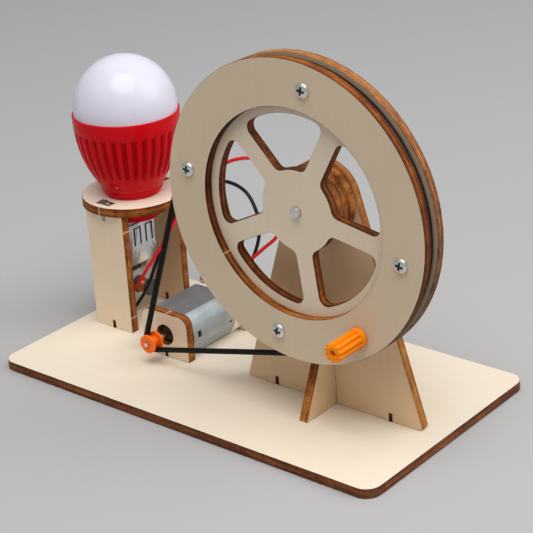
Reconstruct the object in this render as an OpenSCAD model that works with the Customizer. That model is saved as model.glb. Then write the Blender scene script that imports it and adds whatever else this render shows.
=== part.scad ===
// Hand crank generator kit of laser cut plywood: a cranked spoked wheel drives a small motor by belt,
// and the motor lights a plug-in lamp through a step-up board. Millimetres, +Z up, +Y to the back.
// The origin is the centre of the base board's underside.

/* [Plywood] */
// Thickness of every plywood piece
ply_t = 3; // [2.6:0.1:3.4]
// Room on each side of a tab or a half lap joint
tab_fit = 0.05; // [0.02:0.01:0.15]
// How far a tab stops short of the far face of its slot
tab_short = 0.2; // [0.1:0.05:0.5]
// Width of the slit that lets a tab spring
slit_w = 1.2; // [0.6:0.1:1.6]
// Height of that slit above the board's foot
slit_h = 2.7; // [1.5:0.1:4]

/* [Base board] */
// Length of the base board
base_l = 150; // [148:1:190]
// Width of the base board
base_w = 82; // [76:1:110]
// Corner radius of the base board
base_corner_r = 5; // [2:0.5:8]

/* [Wheel stand] */
// Stand centre, to the right of the base centre
stand_x = 34.5; // [33:0.5:38]
// Front face of the stand plate
stand_front_y = -4.9; // [-6:0.1:-3]
// Height of the wheel axle above the base board
axle_h = 67.1; // [66:0.5:76]
// Width of the stand plate at its foot
stand_foot_w = 67; // [60:1:74]
// Radius of the rounded top of the stand, of its bearing discs and of the wheel's hub disc
boss_r = 11.7; // [9:0.1:12]
// Radius of the foot corners
stand_corner_r = 1.2; // [0.6:0.1:4]
// Distance from the stand's centre to each of its tabs
stand_tab_x = 21.7; // [18:0.1:24]
// Width of a stand tab
stand_tab_w = 9; // [6:0.5:11]
// Length of the cross gusset at its foot
gusset_l = 32.4; // [30:0.1:36]
// Length of the cross gusset at its top
gusset_top_l = 17; // [12:0.5:18]
// Height of the cross gusset
gusset_h = 18; // [12:0.5:18.5]
// Distance from the stand's middle to each gusset tab
gusset_tab_y = 9.5; // [8:0.1:11]
// Width of a gusset tab
gusset_tab_w = 6; // [4:0.5:8]

/* [Wheel] */
// Outer radius of the two wheel rings
wheel_r = 46; // [45.5:0.25:47]
// Inner radius of the two wheel rings
ring_inner_r = 32; // [30.5:0.25:33]
// Radius of the spoked disc, the floor of the belt groove
groove_r = 43.6; // [42.5:0.1:44]
// Radius of the hub of the spoked disc
hub_r = 12.6; // [12:0.1:14]
// Outer radius of the windows between the spokes
window_r = 29.2; // [27:0.1:30]
// Corner radius of the windows
window_corner_r = 2.6; // [1.5:0.1:3.2]
// Width of a spoke
spoke_w = 6; // [5:0.1:7.5]
// Number of spokes
spoke_n = 5; // [4:1:6]
// Angle at which the wheel stands at rest
wheel_rest = -10; // [-30:1:30]
// Radius of the circle of wheel screws and of the crank handle
screw_circle_r = 38.6; // [37.5:0.1:39.5]
// Number of wheel screws
screw_n = 4; // [3:1:6]
// Gap between the turning hub disc and the fixed bearing disc
wheel_gap = 0.3; // [0.2:0.05:0.6]

/* [Screws, axle and handle] */
// Thread diameter of the wheel screws
screw_d = 2; // [1.8:0.1:2.2]
// Diameter of a screw head
screw_head_d = 4.5; // [3.6:0.1:5]
// Height of a screw head
screw_head_h = 1.3; // [1:0.1:1.6]
// Length of a screw that stands out of its nut
screw_out = 0.4; // [0.2:0.1:0.6]
// Width of a nut across its corners
nut_corner_d = 4.6; // [4.4:0.1:5]
// Thickness of a nut
nut_h = 1.6; // [1.2:0.1:1.8]
// Diameter of the wheel axle
axle_d = 3; // [2.5:0.1:3.4]
// Length of the axle that stands out in front of the hub
axle_out = 1.5; // [0.5:0.1:3]
// Outer diameter of the collar that keeps the axle
collar_d = 7; // [6:0.1:9]
// Length of that collar
collar_l = 4; // [3:0.5:6]
// Outer diameter of the splined handle
handle_d = 5.9; // [5.4:0.1:7.5]
// Length of the handle
handle_l = 12.2; // [10:0.1:18]
// Length of the plain collar at the handle's foot
handle_collar_l = 1.8; // [1:0.1:2.5]
// Depth of the handle's splines
spline_depth = 0.75; // [0.5:0.05:1]
// Number of splines
spline_n = 10; // [8:1:12]
// Distance of the handle from the wheel's centre
handle_circle_r = 39.6; // [38:0.1:40.2]
// Diameter of the handle pin
pin_d = 2; // [1.8:0.1:2.2]
// Gap between the handle and the ring
handle_gap = 0.3; // [0.2:0.05:0.5]

/* [Belt and pulley] */
// Thickness of the belt, across its runs
belt_t = 1.4; // [1.2:0.1:2]
// Width of the belt, along the axles
belt_w = 1.6; // [1.4:0.1:2.2]
// Radius of the pulley's groove
pulley_groove_r = 1.8; // [1.7:0.05:2]
// Diameter of the pulley's flanges
pulley_d = 6.2; // [6:0.1:8]
// Length of the pulley
pulley_l = 4.6; // [4.4:0.1:6]
// Width of the pulley's groove
pulley_groove_w = 2.6; // [2.6:0.1:3]

/* [Motor] */
// Motor axis, to the left of the base centre
motor_x = -30; // [-33:0.5:-28]
// Width of the motor across its round sides
motor_w = 20.1; // [19.5:0.1:21]
// Height of the motor across its flats
motor_h = 15.4; // [15:0.1:16]
// Length of the steel can
can_l = 20.4; // [19:0.1:22]
// Length of the plastic end cap
cap_l = 4.7; // [4:0.1:5.5]
// Wall of the can and of the cap
can_wall = 0.9; // [0.7:0.05:1.1]
// Diameter of the motor shaft
shaft_d = 1.6; // [1.5:0.1:2.2]
// Diameter of the round boss at each end of the motor
motor_boss_d = 6.1; // [5.5:0.1:6.5]
// Length of that boss
motor_boss_l = 1.6; // [1.2:0.1:2]
// Gap between the pulley and the front bracket
bracket_gap = 4; // [2:0.1:5]
// Width of a motor bracket
bracket_w = 19.6; // [18:0.1:22]
// Height of a motor bracket
bracket_h = 15.5; // [15:0.25:19]
// Radius of a bracket's top corners
bracket_corner_r = 3.5; // [2:0.5:5]
// Diameter of the hole in a bracket
bracket_hole_d = 7; // [6.8:0.1:8]
// Width of a bracket tab
bracket_tab_w = 8; // [6:0.5:10]
// Height of the slit above a bracket's foot
bracket_slit_h = 1.2; // [0.8:0.1:2]
// Height of a solder terminal above the end cap
terminal_h = 2.4; // [2.2:0.1:5]
// Distance from the motor axis to each terminal
terminal_x = 5; // [4:0.1:6]

/* [Lamp tower] */
// Tower and lamp centre, to the left of the base centre
tower_x = -59.6; // [-62:0.2:-57]
// Tower and lamp centre, behind the base centre
tower_y = 11.6; // [8:0.2:13]
// Clear space between the two tower boards
tower_gap = 23.6; // [21.5:0.2:25]
// Width of a tower board
tower_w = 16.6; // [14:0.2:18]
// Height of the tower boards
tower_h = 42; // [41:0.5:50]
// Width of a tower tab
tower_tab_w = 6; // [5:0.25:8]
// Radius of the round plate on the tower
plate_r = 17.2; // [16:0.1:20]

/* [Lamp] */
// Radius of the lamp cup's rim
cup_r = 17.8; // [17.7:0.1:18.5]
// Radius of the cup just above its foot
cup_foot_r = 10.3; // [10.2:0.1:11]
// Height of the cup
cup_h = 28.5; // [27.5:0.5:34]
// Height of the plain foot below the curved side
cup_foot_h = 3; // [2.4:0.1:3.5]
// Depth of the flutes in the cup's side
flute_depth = 0.5; // [0.3:0.05:0.6]
// Number of ribs round the cup
rib_n = 32; // [24:2:40]
// Height at which the ribs start
rib_low = 8; // [6:0.25:10]
// Height at which the ribs end
rib_high = 23.5; // [18:0.25:24]
// Radius of the neck that passes through the plate
neck_r = 8.5; // [7.5:0.1:9]
// Length of the neck below the plate
neck_below = 5.5; // [4:0.25:7]
// Outer radius of the lamp dome
dome_r = 17.2; // [16.5:0.1:17.3]
// Wall of the dome
dome_wall = 1.2; // [0.8:0.1:1.4]
// Height of the dome's centre above the cup's rim
dome_rise = 1.4; // [0.5:0.1:3]
// Depth at which the dome sits inside the rim
dome_seat = 2.5; // [2:0.1:3]
// Radius of the round board with the light emitting diodes
led_board_r = 15; // [13:0.1:15]
// Thickness of that board
led_board_t = 1.2; // [0.8:0.1:1.6]
// Number of light emitting diodes
led_n = 6; // [4:1:8]
// Side of one light emitting diode
led_w = 2.8; // [2:0.1:3.5]
// Length of the plug below the neck
plug_l = 12; // [10.5:0.1:12.4]
// Width of the plug
plug_w = 12; // [11.6:0.1:12.2]
// Thickness of the plug
plug_t = 4.5; // [4.3:0.1:4.7]
// Wall of the plug and of the socket
shell_wall = 0.3; // [0.25:0.01:0.4]
// Clearance between the plug and the socket
plug_clear = 0.3; // [0.15:0.05:0.35]
// Clearance between the lamp's neck and the hole in the plate
lamp_clear = 0.4; // [0.3:0.05:0.6]

/* [Step-up board] */
// Top edge of the circuit board below the lamp's neck
pcb_drop = 3.5; // [2.5:0.1:5]
// Width of the circuit board
pcb_w = 16.2; // [15:0.2:18]
// Thickness of the circuit board
pcb_t = 1.2; // [0.8:0.1:1.6]
// Length of the socket
socket_l = 14.4; // [13.5:0.1:15]
// Mouth of the socket below the lamp's neck
socket_drop = 2; // [1:0.1:2.5]
// Height of the socket's own insulator block
socket_block_h = 3.6; // [3:0.1:4.2]
// Diameter of the drum inductor
inductor_d = 6; // [5:0.1:7]
// Height of the drum inductor, out from the board
inductor_h = 6.2; // [5:0.1:7]
// Thickness of the inductor's flanges
inductor_flange = 1.1; // [0.8:0.1:1.4]
// Diameter of the copper winding on the inductor
winding_d = 5; // [4.2:0.1:5.6]
// Diameter of the inductor's waist
waist_d = 2.8; // [2:0.1:3.2]

/* [Wires] */
// Outer diameter of each wire
wire_d = 1.2; // [0.8:0.1:1.4]
// Number of flat sides of a wire
wire_sides = 8; // [6:1:8]

/* [Clearances] */
// Radial clearance of a shaft that turns in a bore
run_clear = 0.05; // [0.02:0.01:0.1]
// Radial clearance of a pressed or glued piece
snug_clear = 0.02; // [0.01:0.01:0.04]
// Clearance round the belt
belt_clear = 0.1; // [0.05:0.01:0.2]

/* [Hidden] */
$fn = 96;

// Colours of the materials
ply_color = [0.90, 0.82, 0.70];
steel_color = [0.75, 0.76, 0.78];
copper_color = [0.78, 0.40, 0.18];
brass_color = [0.80, 0.65, 0.30];
orange_color = [1.00, 0.42, 0.06];
red_color = [0.80, 0.05, 0.08];
white_color = [0.95, 0.95, 0.97];
cream_color = [0.93, 0.91, 0.84];
black_color = [0.08, 0.08, 0.08];
ferrite_color = [0.20, 0.20, 0.20];
board_color = [0.88, 0.89, 0.86];

// Small overlap that makes a cut pass clear through a face
cut = 0.5;

// Layers of the wheel, from its front face back to the stand
bearing_front_y = stand_front_y - 2 * ply_t;
hub_disc_front_y = bearing_front_y - wheel_gap - ply_t;
spoke_disc_front_y = hub_disc_front_y - ply_t;
front_ring_front_y = spoke_disc_front_y - ply_t;
rear_ring_back_y = hub_disc_front_y + ply_t;
stand_back_y = stand_front_y + ply_t;
stand_mid_y = stand_front_y + ply_t / 2;
axle_z = ply_t + axle_h;
belt_y = spoke_disc_front_y + ply_t / 2;
belt_steps = [24, 120];
spoke_step = 360 / spoke_n;
screw_step = 360 / screw_n;
handle_angle = -screw_step / 2;

// Shapes of the screw heads, the splines and the handle pin
head_edge = 0.35;
head_steps = 5;
recess_share = [0.16, 0.56, 0.6];
handle_collar_rise = 0.3;
spline_top = 0.2;
spline_root = 0.34;
pin_recess = 1.5;
pin_head_r = 1.8;
pin_head_h = 1.2;

// Places along the motor
pulley_front_y = belt_y - pulley_l / 2;
front_bracket_y = pulley_front_y + pulley_l + bracket_gap;
can_front_y = front_bracket_y + ply_t;
cap_front_y = can_front_y + can_l;
motor_back_y = cap_front_y + cap_l;
motor_z = ply_t + motor_h / 2;
shaft_out = 0.6;
vent_l = 1.6;
vent_h = 2.4;
vent_inset = 2.9;
vent_lift = 0.4;
shaft_front_y = pulley_front_y - shaft_out;
shaft_r = shaft_d / 2;
shaft_bore_r = shaft_r + run_clear;
magnet_t = 2;
magnet_inset = 1;
magnet_room = 4;
magnet_r = motor_w / 2 - can_wall - snug_clear;
armature_gap = 0.4;
armature_r = min(magnet_r - magnet_t - armature_gap, motor_h / 2 - can_wall - armature_gap);
core_l = 9;
core_inset = 5;
core_front_y = can_front_y + core_inset;
pole_n = 3;
pole_w = 2.6;
pole_tip = 1.2;
pole_span = 84;
core_hub_r = 2.2;
winding_l = 1.6;
winding_side = 1;
winding_room = 0.3;
commutator_r = 2.3;
commutator_l = 4;
commutator_lead = 1;
commutator_y = cap_front_y - commutator_lead;
brush_w = 1.6;
brush_t = 0.5;
bushing_r = 2.4;
terminal_t = 0.5;
terminal_w = 2.4;
terminal_seat = 1.2;
terminal_y = cap_front_y + cap_l / 2;

// Levels of the tower and the lamp
tower_top_z = ply_t + tower_h;
plate_top_z = tower_top_z + ply_t;
front_board_y = tower_y - tower_gap / 2 - ply_t;
rear_board_y = tower_y + tower_gap / 2;
tower_tab_mid = tower_gap / 2 + ply_t / 2;
neck_bottom_z = tower_top_z - neck_below;
cup_foot_step = cup_foot_h / 2;
cup_step_in = 0.6;
cup_chamfer = 0.5;
cup_curve = 2.4;
cup_steps = 8;
cup_floor = 4;
rib_share = 0.55;
rib_sink = 0.06;
rib_root = 0.4;
led_board_drop = 2;
led_board_z = cup_h - dome_seat - led_board_drop;
led_board_room = 0.1;
cup_ledge = 1.2;
cup_floor_in = 2;
led_h = 0.9;
led_ring_share = 0.6;
led_ring_r = led_board_r * led_ring_share;
plug_bottom_z = neck_bottom_z - plug_l;
insert_share = 0.43;
insert_t = (plug_t - 2 * shell_wall) * insert_share;
insert_recess = 0.3;
insert_root = 2.4;

// Step-up board, upright beside the lamp's axis
socket_w = plug_w + 2 * (plug_clear + shell_wall);
socket_t = plug_t + 2 * (plug_clear + shell_wall);
socket_top_z = neck_bottom_z - socket_drop;
socket_bottom_z = socket_top_z - socket_l;
spring_w = 2.2;
spring_h = 6.6;
spring_gap = 0.7;
spring_top = 1.2;
spring_side = 2.8;
pcb_face_x = tower_x - socket_t / 2;
pcb_l = neck_bottom_z - pcb_drop - ply_t;
tongue_t = plug_t - 2 * shell_wall - insert_t - 2 * plug_clear;
tongue_w = plug_w - 2 * shell_wall - 2 * plug_clear;
tongue_l = 9;
inductor_side = 1;
inductor_drop = 7.6;
inductor_y = tower_y + inductor_side;
chip_size = [1.4, 4, 3];
capacitor_size = [2, 3, 4];
capacitor_side = 5.4;
part_drop = 2.8;
part_z = socket_bottom_z - part_drop;
inductor_z = part_z - inductor_drop;

// Wire routes, from the step-up board to the motor's terminals
pad_side = 6.2;
pad_z = [13, 7];
red_pad = [pcb_face_x, tower_y - pad_side, pad_z[0]];
black_pad = [pcb_face_x, tower_y - pad_side, pad_z[1]];
solder_drop = 1;
solder_z = motor_z + motor_h / 2 + terminal_h - solder_drop;
solder_y = terminal_y - terminal_t / 2 - wire_d / 2;
red_route = [[-61, 5.4, 13], [-58, 5.2, 14], [-55, 5, 17], [-51, 7, 24], [-47, 11, 32], [-44, 15, 40],
    [-40, 18, 48], [-34, 20, 56], [-26, 21, 61], [-19, 21, 64], [-12, 21, 65], [-6, 21, 62.5], [-2, 20.5, 56],
    [-1, 20, 48], [-4, 19, 41], [-9, 18, 36], [-15, 17, 30.6], [-23, 16.4, 25.4], [-30, 16, 22.6]];
black_route = [[-61, 5.4, 7], [-58, 5, 8], [-55, 4.6, 10.5], [-51.4, 6.2, 17], [-49.5, 9.1, 24.6],
    [-48.3, 13.4, 32], [-46.2, 17.8, 40.8], [-39.5, 21.8, 48.5], [-33, 23.4, 52.3], [-26.5, 23.8, 53.2],
    [-20, 23.5, 51.4], [-15, 22, 47], [-13, 21, 41], [-14, 20, 34], [-17, 18.5, 27.4], [-21.4, 16.6, 22.8]];
wire_fine = 2;

// Lamp cup radius at a height above the plate
function cup_side(h) =
    cup_r - (cup_r - cup_foot_r) * pow((cup_h - h) / (cup_h - cup_foot_h), cup_curve);

// Unit vector of a vector in the plane or in space
function unit(v) = v / norm(v);

// Point where a line from a corner touches a circle, on the side that sign picks
function touch(corner, centre, r, sign) =
    let (d = corner - centre, a = atan2(d[1], d[0]), b = acos(r / norm(d)))
    centre + r * [cos(a + sign * b), sin(a + sign * b)];

// Corner centre and the two touching points of a round corner between two straight edges
function corner_inset(before, at, after, r) =
    let (u = unit(before - at), v = unit(after - at), half = acos(u * v) / 2, d = r / tan(half))
    [at + u * d, at + unit(u + v) * r / sin(half), at + v * d];

// Smooth curve through the points of a route
function spline_point(p, i, t) =
    let (n = len(p), a = p[max(i - 1, 0)], b = p[i], c = p[i + 1], d = p[min(i + 2, n - 1)])
    0.5 * (2 * b + (c - a) * t + (2 * a - 5 * b + 4 * c - d) * t * t + (3 * b - a - 3 * c + d) * t * t * t);
function smooth_route(p) = concat(
    [for (i = [0 : len(p) - 2]) for (k = [0 : wire_fine - 1]) spline_point(p, i, k / wire_fine)],
    [p[len(p) - 1]]);
function heading(p, i) = unit(p[min(i + 1, len(p) - 1)] - p[max(i - 1, 0)]);
function route_ring(p, i) =
    let (t = heading(p, i), side = unit(cross(t, [0, 1, 0.3])), lift = cross(side, t))
    [for (k = [0 : wire_sides - 1])
        let (a = 360 * k / wire_sides) p[i] + wire_d / 2 * (side * cos(a) + lift * sin(a))];

// Flat shapes are drawn in X and Y, then stood up so that their Y becomes Z and they grow towards +Y
module upright(y, t) {
    translate([0, y + t, 0]) rotate([90, 0, 0]) linear_extrude(t) children();
}

// Round bar along Y
module bar_y(r, y, l) {
    translate([0, y + l, 0]) rotate([90, 0, 0]) cylinder(r = r, h = l);
}

// Rectangle with the same radius at all corners
module round_rect(l, w, r) {
    square([l - 2 * r, w], center = true);
    square([l, w - 2 * r], center = true);
    for (sx = [-1, 1], sy = [-1, 1]) translate([sx * (l / 2 - r), sy * (w / 2 - r)]) circle(r);
}

// Convex outline whose first corners, as many as there are radii, are rounded
module soft_polygon(p, r) {
    n = len(p);
    polygon([for (i = [0 : n - 1])
        let (c = i < len(r) ?
            corner_inset(p[(i + n - 1) % n], p[i], p[(i + 1) % n], r[i]) : [p[i], p[i], p[i]])
        each (i < len(r) ? [c[0], c[2]] : [p[i]])]);
    for (i = [0 : len(r) - 1])
        translate(corner_inset(p[(i + n - 1) % n], p[i], p[(i + 1) % n], r[i])[1]) circle(r[i]);
}

// Tab below a foot at height zero
module tab_2d(x, w) {
    translate([x - w / 2, tab_short - ply_t]) square([w, ply_t - tab_short + cut]);
}

// Slit through a tab and up into its board
module slit_2d(x, h) {
    translate([x - slit_w / 2, -ply_t - cut]) square([slit_w, ply_t + cut + h]);
}

// Slot that takes a tab, cut through a flat board lying at height z
module slot(x, y, lx, ly, z) {
    translate([x - lx / 2 - tab_fit, y - ly / 2 - tab_fit, z - cut])
        cube([lx + 2 * tab_fit, ly + 2 * tab_fit, ply_t + 2 * cut]);
}

// Wire swept along a route
module wire(route) {
    p = smooth_route(route);
    n = len(p);
    s = wire_sides;
    side_faces = [for (i = [0 : n - 2]) for (k = [0 : s - 1])
        let (a = i * s + k, b = i * s + (k + 1) % s)
        each [[a, a + s, b], [b, a + s, b + s]]];
    first_cap = [for (k = [1 : s - 2]) [0, k, k + 1]];
    last_cap = [for (k = [1 : s - 2]) [(n - 1) * s, (n - 1) * s + k + 1, (n - 1) * s + k]];
    polyhedron([for (i = [0 : n - 1]) each route_ring(p, i)], concat(side_faces, first_cap, last_cap));
}

// Moves a shape drawn round the wheel's own centre to the axle, turned to the rest angle
module at_wheel() {
    translate([stand_x, 0, axle_z]) rotate([0, -wheel_rest, 0]) children();
}

// Repeats a shape at the wheel's screws
module at_screws() {
    at_wheel() for (i = [0 : screw_n - 1])
        rotate([0, -i * screw_step, 0]) translate([screw_circle_r, 0, 0]) children();
}

// Moves a shape drawn round the handle's own axis to the handle
module at_handle() {
    at_wheel() rotate([0, -handle_angle, 0]) translate([handle_circle_r, 0, 0]) children();
}

// Holes for the wheel's screws and for the handle pin, cut through a layer of the wheel
module wheel_holes(y) {
    at_screws() bar_y(screw_d / 2 + run_clear, y - cut, ply_t + 2 * cut);
    at_handle() bar_y(pin_d / 2 + run_clear, y - cut, ply_t + 2 * cut);
}

module base_board() {
    color(ply_color) difference() {
        linear_extrude(ply_t) round_rect(base_l, base_w, base_corner_r);
        for (s = [-1, 1]) {
            slot(stand_x + s * stand_tab_x, stand_mid_y, stand_tab_w, ply_t, 0);
            slot(stand_x, stand_mid_y + s * gusset_tab_y, ply_t, gusset_tab_w, 0);
            slot(tower_x, tower_y + s * tower_tab_mid, tower_tab_w, ply_t, 0);
        }
        slot(motor_x, front_bracket_y + ply_t / 2, bracket_tab_w, ply_t, 0);
        slot(motor_x, motor_back_y + ply_t / 2, bracket_tab_w, ply_t, 0);
    }
}

module stand_outline() {
    top = [0, axle_h];
    foot = [stand_foot_w / 2, 0];
    right = touch(foot, top, boss_r, 1);
    soft_polygon([[-foot[0], 0], foot, right, [-right[0], right[1]]], [stand_corner_r, stand_corner_r]);
    translate(top) circle(boss_r);
}

module stand_plate() {
    lap_w = ply_t + 2 * tab_fit;
    color(ply_color) translate([stand_x, 0, ply_t]) difference() {
        upright(stand_front_y, ply_t) difference() {
            union() {
                stand_outline();
                for (s = [-1, 1]) tab_2d(s * stand_tab_x, stand_tab_w);
            }
            for (s = [-1, 1]) slit_2d(s * stand_tab_x, slit_h);
            translate([-lap_w / 2, -cut]) square([lap_w, gusset_h / 2 + tab_fit + cut]);
        }
        translate([0, 0, axle_h]) bar_y(axle_d / 2 + run_clear, stand_front_y - cut, ply_t + 2 * cut);
    }
}

module stand_gusset() {
    lap_w = ply_t + 2 * tab_fit;
    half = gusset_l / 2;
    top_half = gusset_top_l / 2;
    color(ply_color) translate([stand_x - ply_t / 2, stand_mid_y, ply_t])
        rotate([90, 0, 90]) linear_extrude(ply_t) difference() {
            union() {
                polygon([[-half, 0], [half, 0], [top_half, gusset_h], [-top_half, gusset_h]]);
                for (s = [-1, 1]) tab_2d(s * gusset_tab_y, gusset_tab_w);
            }
            translate([-lap_w / 2, gusset_h / 2]) square([lap_w, gusset_h / 2 + cut]);
        }
}

// Round disc glued to the stand, one of two that lengthen the axle's bearing
module bearing_disc(y) {
    color(ply_color) translate([stand_x, 0, axle_z]) difference() {
        bar_y(boss_r, y, ply_t);
        bar_y(axle_d / 2 + run_clear, y - cut, ply_t + 2 * cut);
    }
}

module bearing_disc_front() {
    bearing_disc(bearing_front_y);
}

module bearing_disc_back() {
    bearing_disc(bearing_front_y + ply_t);
}

module wheel_ring(y) {
    difference() {
        at_wheel() bar_y(wheel_r, y, ply_t);
        at_wheel() bar_y(ring_inner_r, y - cut, ply_t + 2 * cut);
        wheel_holes(y);
    }
}

module wheel_front_ring() {
    color(ply_color) wheel_ring(front_ring_front_y);
}

module wheel_rear_ring() {
    color(ply_color) wheel_ring(hub_disc_front_y);
}

// Piece outside a round corner: a kite from the corner's centre, less the circle
module corner_waste(centre, first, tip, last) {
    difference() {
        polygon([centre, first, tip, last]);
        circle_r = norm(first - centre);
        translate(centre) circle(circle_r);
    }
}

// Half of one window, above its middle line, between the hub, a spoke's edge and the outer arc
module window_2d() {
    half_step = spoke_step / 2;
    edge = spoke_w / 2;
    inset = edge + window_corner_r;
    outer_c_r = window_r - window_corner_r;
    inner_c_r = hub_r + window_corner_r;
    outer_a = asin(inset / outer_c_r);
    inner_a = asin(inset / inner_c_r);
    outer_edge = asin(edge / window_r);
    inner_edge = asin(edge / hub_r);
    reach = window_r / cos(half_step - outer_edge) + cut;
    difference() {
        intersection() {
            circle(window_r);
            polygon([window_r * [cos(outer_edge), sin(outer_edge)],
                reach * [cos(half_step), sin(half_step)],
                window_r * [cos(spoke_step - outer_edge), sin(spoke_step - outer_edge)],
                hub_r * [cos(spoke_step - inner_edge), sin(spoke_step - inner_edge)],
                hub_r * cos(half_step - inner_edge) * 0.8 * [cos(half_step), sin(half_step)],
                hub_r * [cos(inner_edge), sin(inner_edge)]]);
        }
        circle(hub_r);
        for (side = [0, 1]) rotate(side * spoke_step) mirror([0, side, 0]) {
            corner_waste(outer_c_r * [cos(outer_a), sin(outer_a)],
                [outer_c_r * cos(outer_a), edge],
                (window_r + cut) * [cos(outer_edge / 2), sin(outer_edge / 2)],
                window_r * [cos(outer_a), sin(outer_a)]);
            corner_waste(inner_c_r * [cos(inner_a), sin(inner_a)],
                hub_r * [cos(inner_a), sin(inner_a)],
                (hub_r - cut) * [cos(inner_edge / 2), sin(inner_edge / 2)],
                [inner_c_r * cos(inner_a), edge]);
        }
    }
}

module wheel_spoke_disc() {
    color(ply_color) difference() {
        at_wheel() upright(spoke_disc_front_y, ply_t) difference() {
            circle(groove_r);
            for (i = [0 : spoke_n - 1]) rotate(i * spoke_step) window_2d();
            circle(axle_d / 2 + snug_clear);
        }
        wheel_holes(spoke_disc_front_y);
    }
}

// Disc glued behind the hub, which turns with the wheel
module wheel_hub_disc() {
    color(ply_color) at_wheel() difference() {
        bar_y(boss_r, hub_disc_front_y, ply_t);
        bar_y(axle_d / 2 + snug_clear, hub_disc_front_y - cut, ply_t + 2 * cut);
    }
}

module wheel_screws() {
    head_r = screw_head_d / 2;
    edge_h = screw_head_h * head_edge;
    recess_w = screw_head_d * recess_share[0];
    recess_l = screw_head_d * recess_share[1];
    recess_h = screw_head_h * recess_share[2];
    shank_l = 3 * ply_t + nut_h + screw_out;
    color(steel_color) at_screws() translate([0, front_ring_front_y, 0]) difference() {
        rotate([90, 0, 0]) rotate_extrude() {
            translate([0, -shank_l]) square([screw_d / 2, shank_l + cut]);
            polygon(concat([[0, 0], [head_r, 0]], [for (i = [0 : head_steps]) let (a = 90 * i / head_steps)
                [head_r * cos(a), edge_h + (screw_head_h - edge_h) * sin(a)]]));
        }
        for (a = [0, 90]) rotate([0, a, 0])
            translate([-recess_l / 2, -screw_head_h - cut, -recess_w / 2])
                cube([recess_l, recess_h + cut, recess_w]);
    }
}

module wheel_nuts() {
    color(steel_color) at_screws() translate([0, rear_ring_back_y + nut_h, 0])
        rotate([90, 0, 0]) difference() {
            cylinder(d = nut_corner_d, h = nut_h, $fn = 6);
            translate([0, 0, -cut]) cylinder(r = screw_d / 2 + snug_clear, h = nut_h + 2 * cut, $fn = 48);
        }
}

module wheel_axle() {
    back = stand_back_y + wheel_gap + collar_l;
    color(steel_color) translate([stand_x, 0, axle_z])
        bar_y(axle_d / 2, spoke_disc_front_y - axle_out, back - spoke_disc_front_y + axle_out);
}

module axle_collar() {
    color(cream_color) translate([stand_x, 0, axle_z]) difference() {
        bar_y(collar_d / 2, stand_back_y + wheel_gap, collar_l);
        bar_y(axle_d / 2 + snug_clear, stand_back_y + wheel_gap - cut, collar_l + 2 * cut);
    }
}

// Toothed outline of the handle, with straight sided splines
module spline_2d() {
    outer = handle_d / 2;
    inner = outer - spline_depth;
    step = 360 / spline_n;
    polygon([for (i = [0 : spline_n - 1])
        for (q = [[inner, -spline_root], [outer, -spline_top], [outer, spline_top], [inner, spline_root]])
        q[0] * [cos((i + q[1]) * step), sin((i + q[1]) * step)]]);
}

module handle_knob() {
    foot = front_ring_front_y - handle_gap;
    color(orange_color) at_handle() translate([0, foot, 0]) rotate([90, 0, 0]) difference() {
        union() {
            cylinder(d = handle_d + handle_collar_rise, h = handle_collar_l);
            linear_extrude(handle_l) spline_2d();
        }
        translate([0, 0, -cut]) cylinder(r = pin_d / 2 + snug_clear, h = handle_l + 2 * cut);
    }
}

module handle_pin() {
    tip = front_ring_front_y - handle_gap - handle_l + pin_recess;
    color(steel_color) at_handle() {
        bar_y(pin_d / 2, tip, rear_ring_back_y + handle_gap - tip);
        bar_y(pin_head_r, rear_ring_back_y + handle_gap, pin_head_h);
    }
}

// Points of an arc
function arc_points(centre, r, from, sweep, steps) =
    [for (i = [0 : steps]) let (a = from + sweep * i / steps) centre + r * [cos(a), sin(a)]];

// Outline of the belt at a distance from the floors of its two grooves
function belt_points(extra) =
    let (big = [stand_x, axle_z], small = [motor_x, motor_z], way = small - big, lead = atan2(way[1], way[0]),
        tilt = acos((groove_r - pulley_groove_r) / norm(way)))
    concat(arc_points(small, pulley_groove_r + extra, lead - tilt, 2 * tilt, belt_steps[0]),
        arc_points(big, groove_r + extra, lead + tilt, 360 - 2 * tilt, belt_steps[1]));

module drive_belt() {
    color(black_color) upright(belt_y - belt_w / 2, belt_w) difference() {
        polygon(belt_points(belt_clear + belt_t));
        polygon(belt_points(belt_clear));
    }
}

module motor_pulley() {
    flange = (pulley_l - pulley_groove_w) / 2;
    edge = pulley_d / 2;
    bore = shaft_r + snug_clear;
    color(orange_color) translate([motor_x, pulley_front_y + pulley_l, motor_z])
        rotate([90, 0, 0]) rotate_extrude() {
            translate([bore, 0]) square([pulley_groove_r - bore, pulley_l]);
            for (z = [0, pulley_l - flange]) translate([bore, z]) square([edge - bore, flange]);
        }
}

module motor_shaft() {
    color(steel_color) translate([motor_x, 0, motor_z])
        bar_y(shaft_r, shaft_front_y, motor_back_y + motor_boss_l - shaft_front_y);
}

// Section of the motor: a circle with two flats
module motor_2d(shrink) {
    intersection() {
        circle(motor_w / 2 - shrink);
        square([motor_w, motor_h - 2 * shrink], center = true);
    }
}

module motor_can() {
    color(steel_color) translate([motor_x, 0, motor_z]) difference() {
        union() {
            upright(can_front_y, can_l) motor_2d(0);
            bar_y(motor_boss_d / 2, can_front_y - motor_boss_l, motor_boss_l + cut);
        }
        upright(can_front_y + can_wall, can_l) motor_2d(can_wall);
        bar_y(bushing_r + snug_clear, can_front_y - motor_boss_l - cut, motor_boss_l + can_wall + 2 * cut);
        for (s = [-1, 1]) translate([s * motor_w / 2, can_front_y + vent_inset, vent_lift])
            cube([3 * can_wall, vent_l, vent_h], center = true);
    }
}

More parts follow.
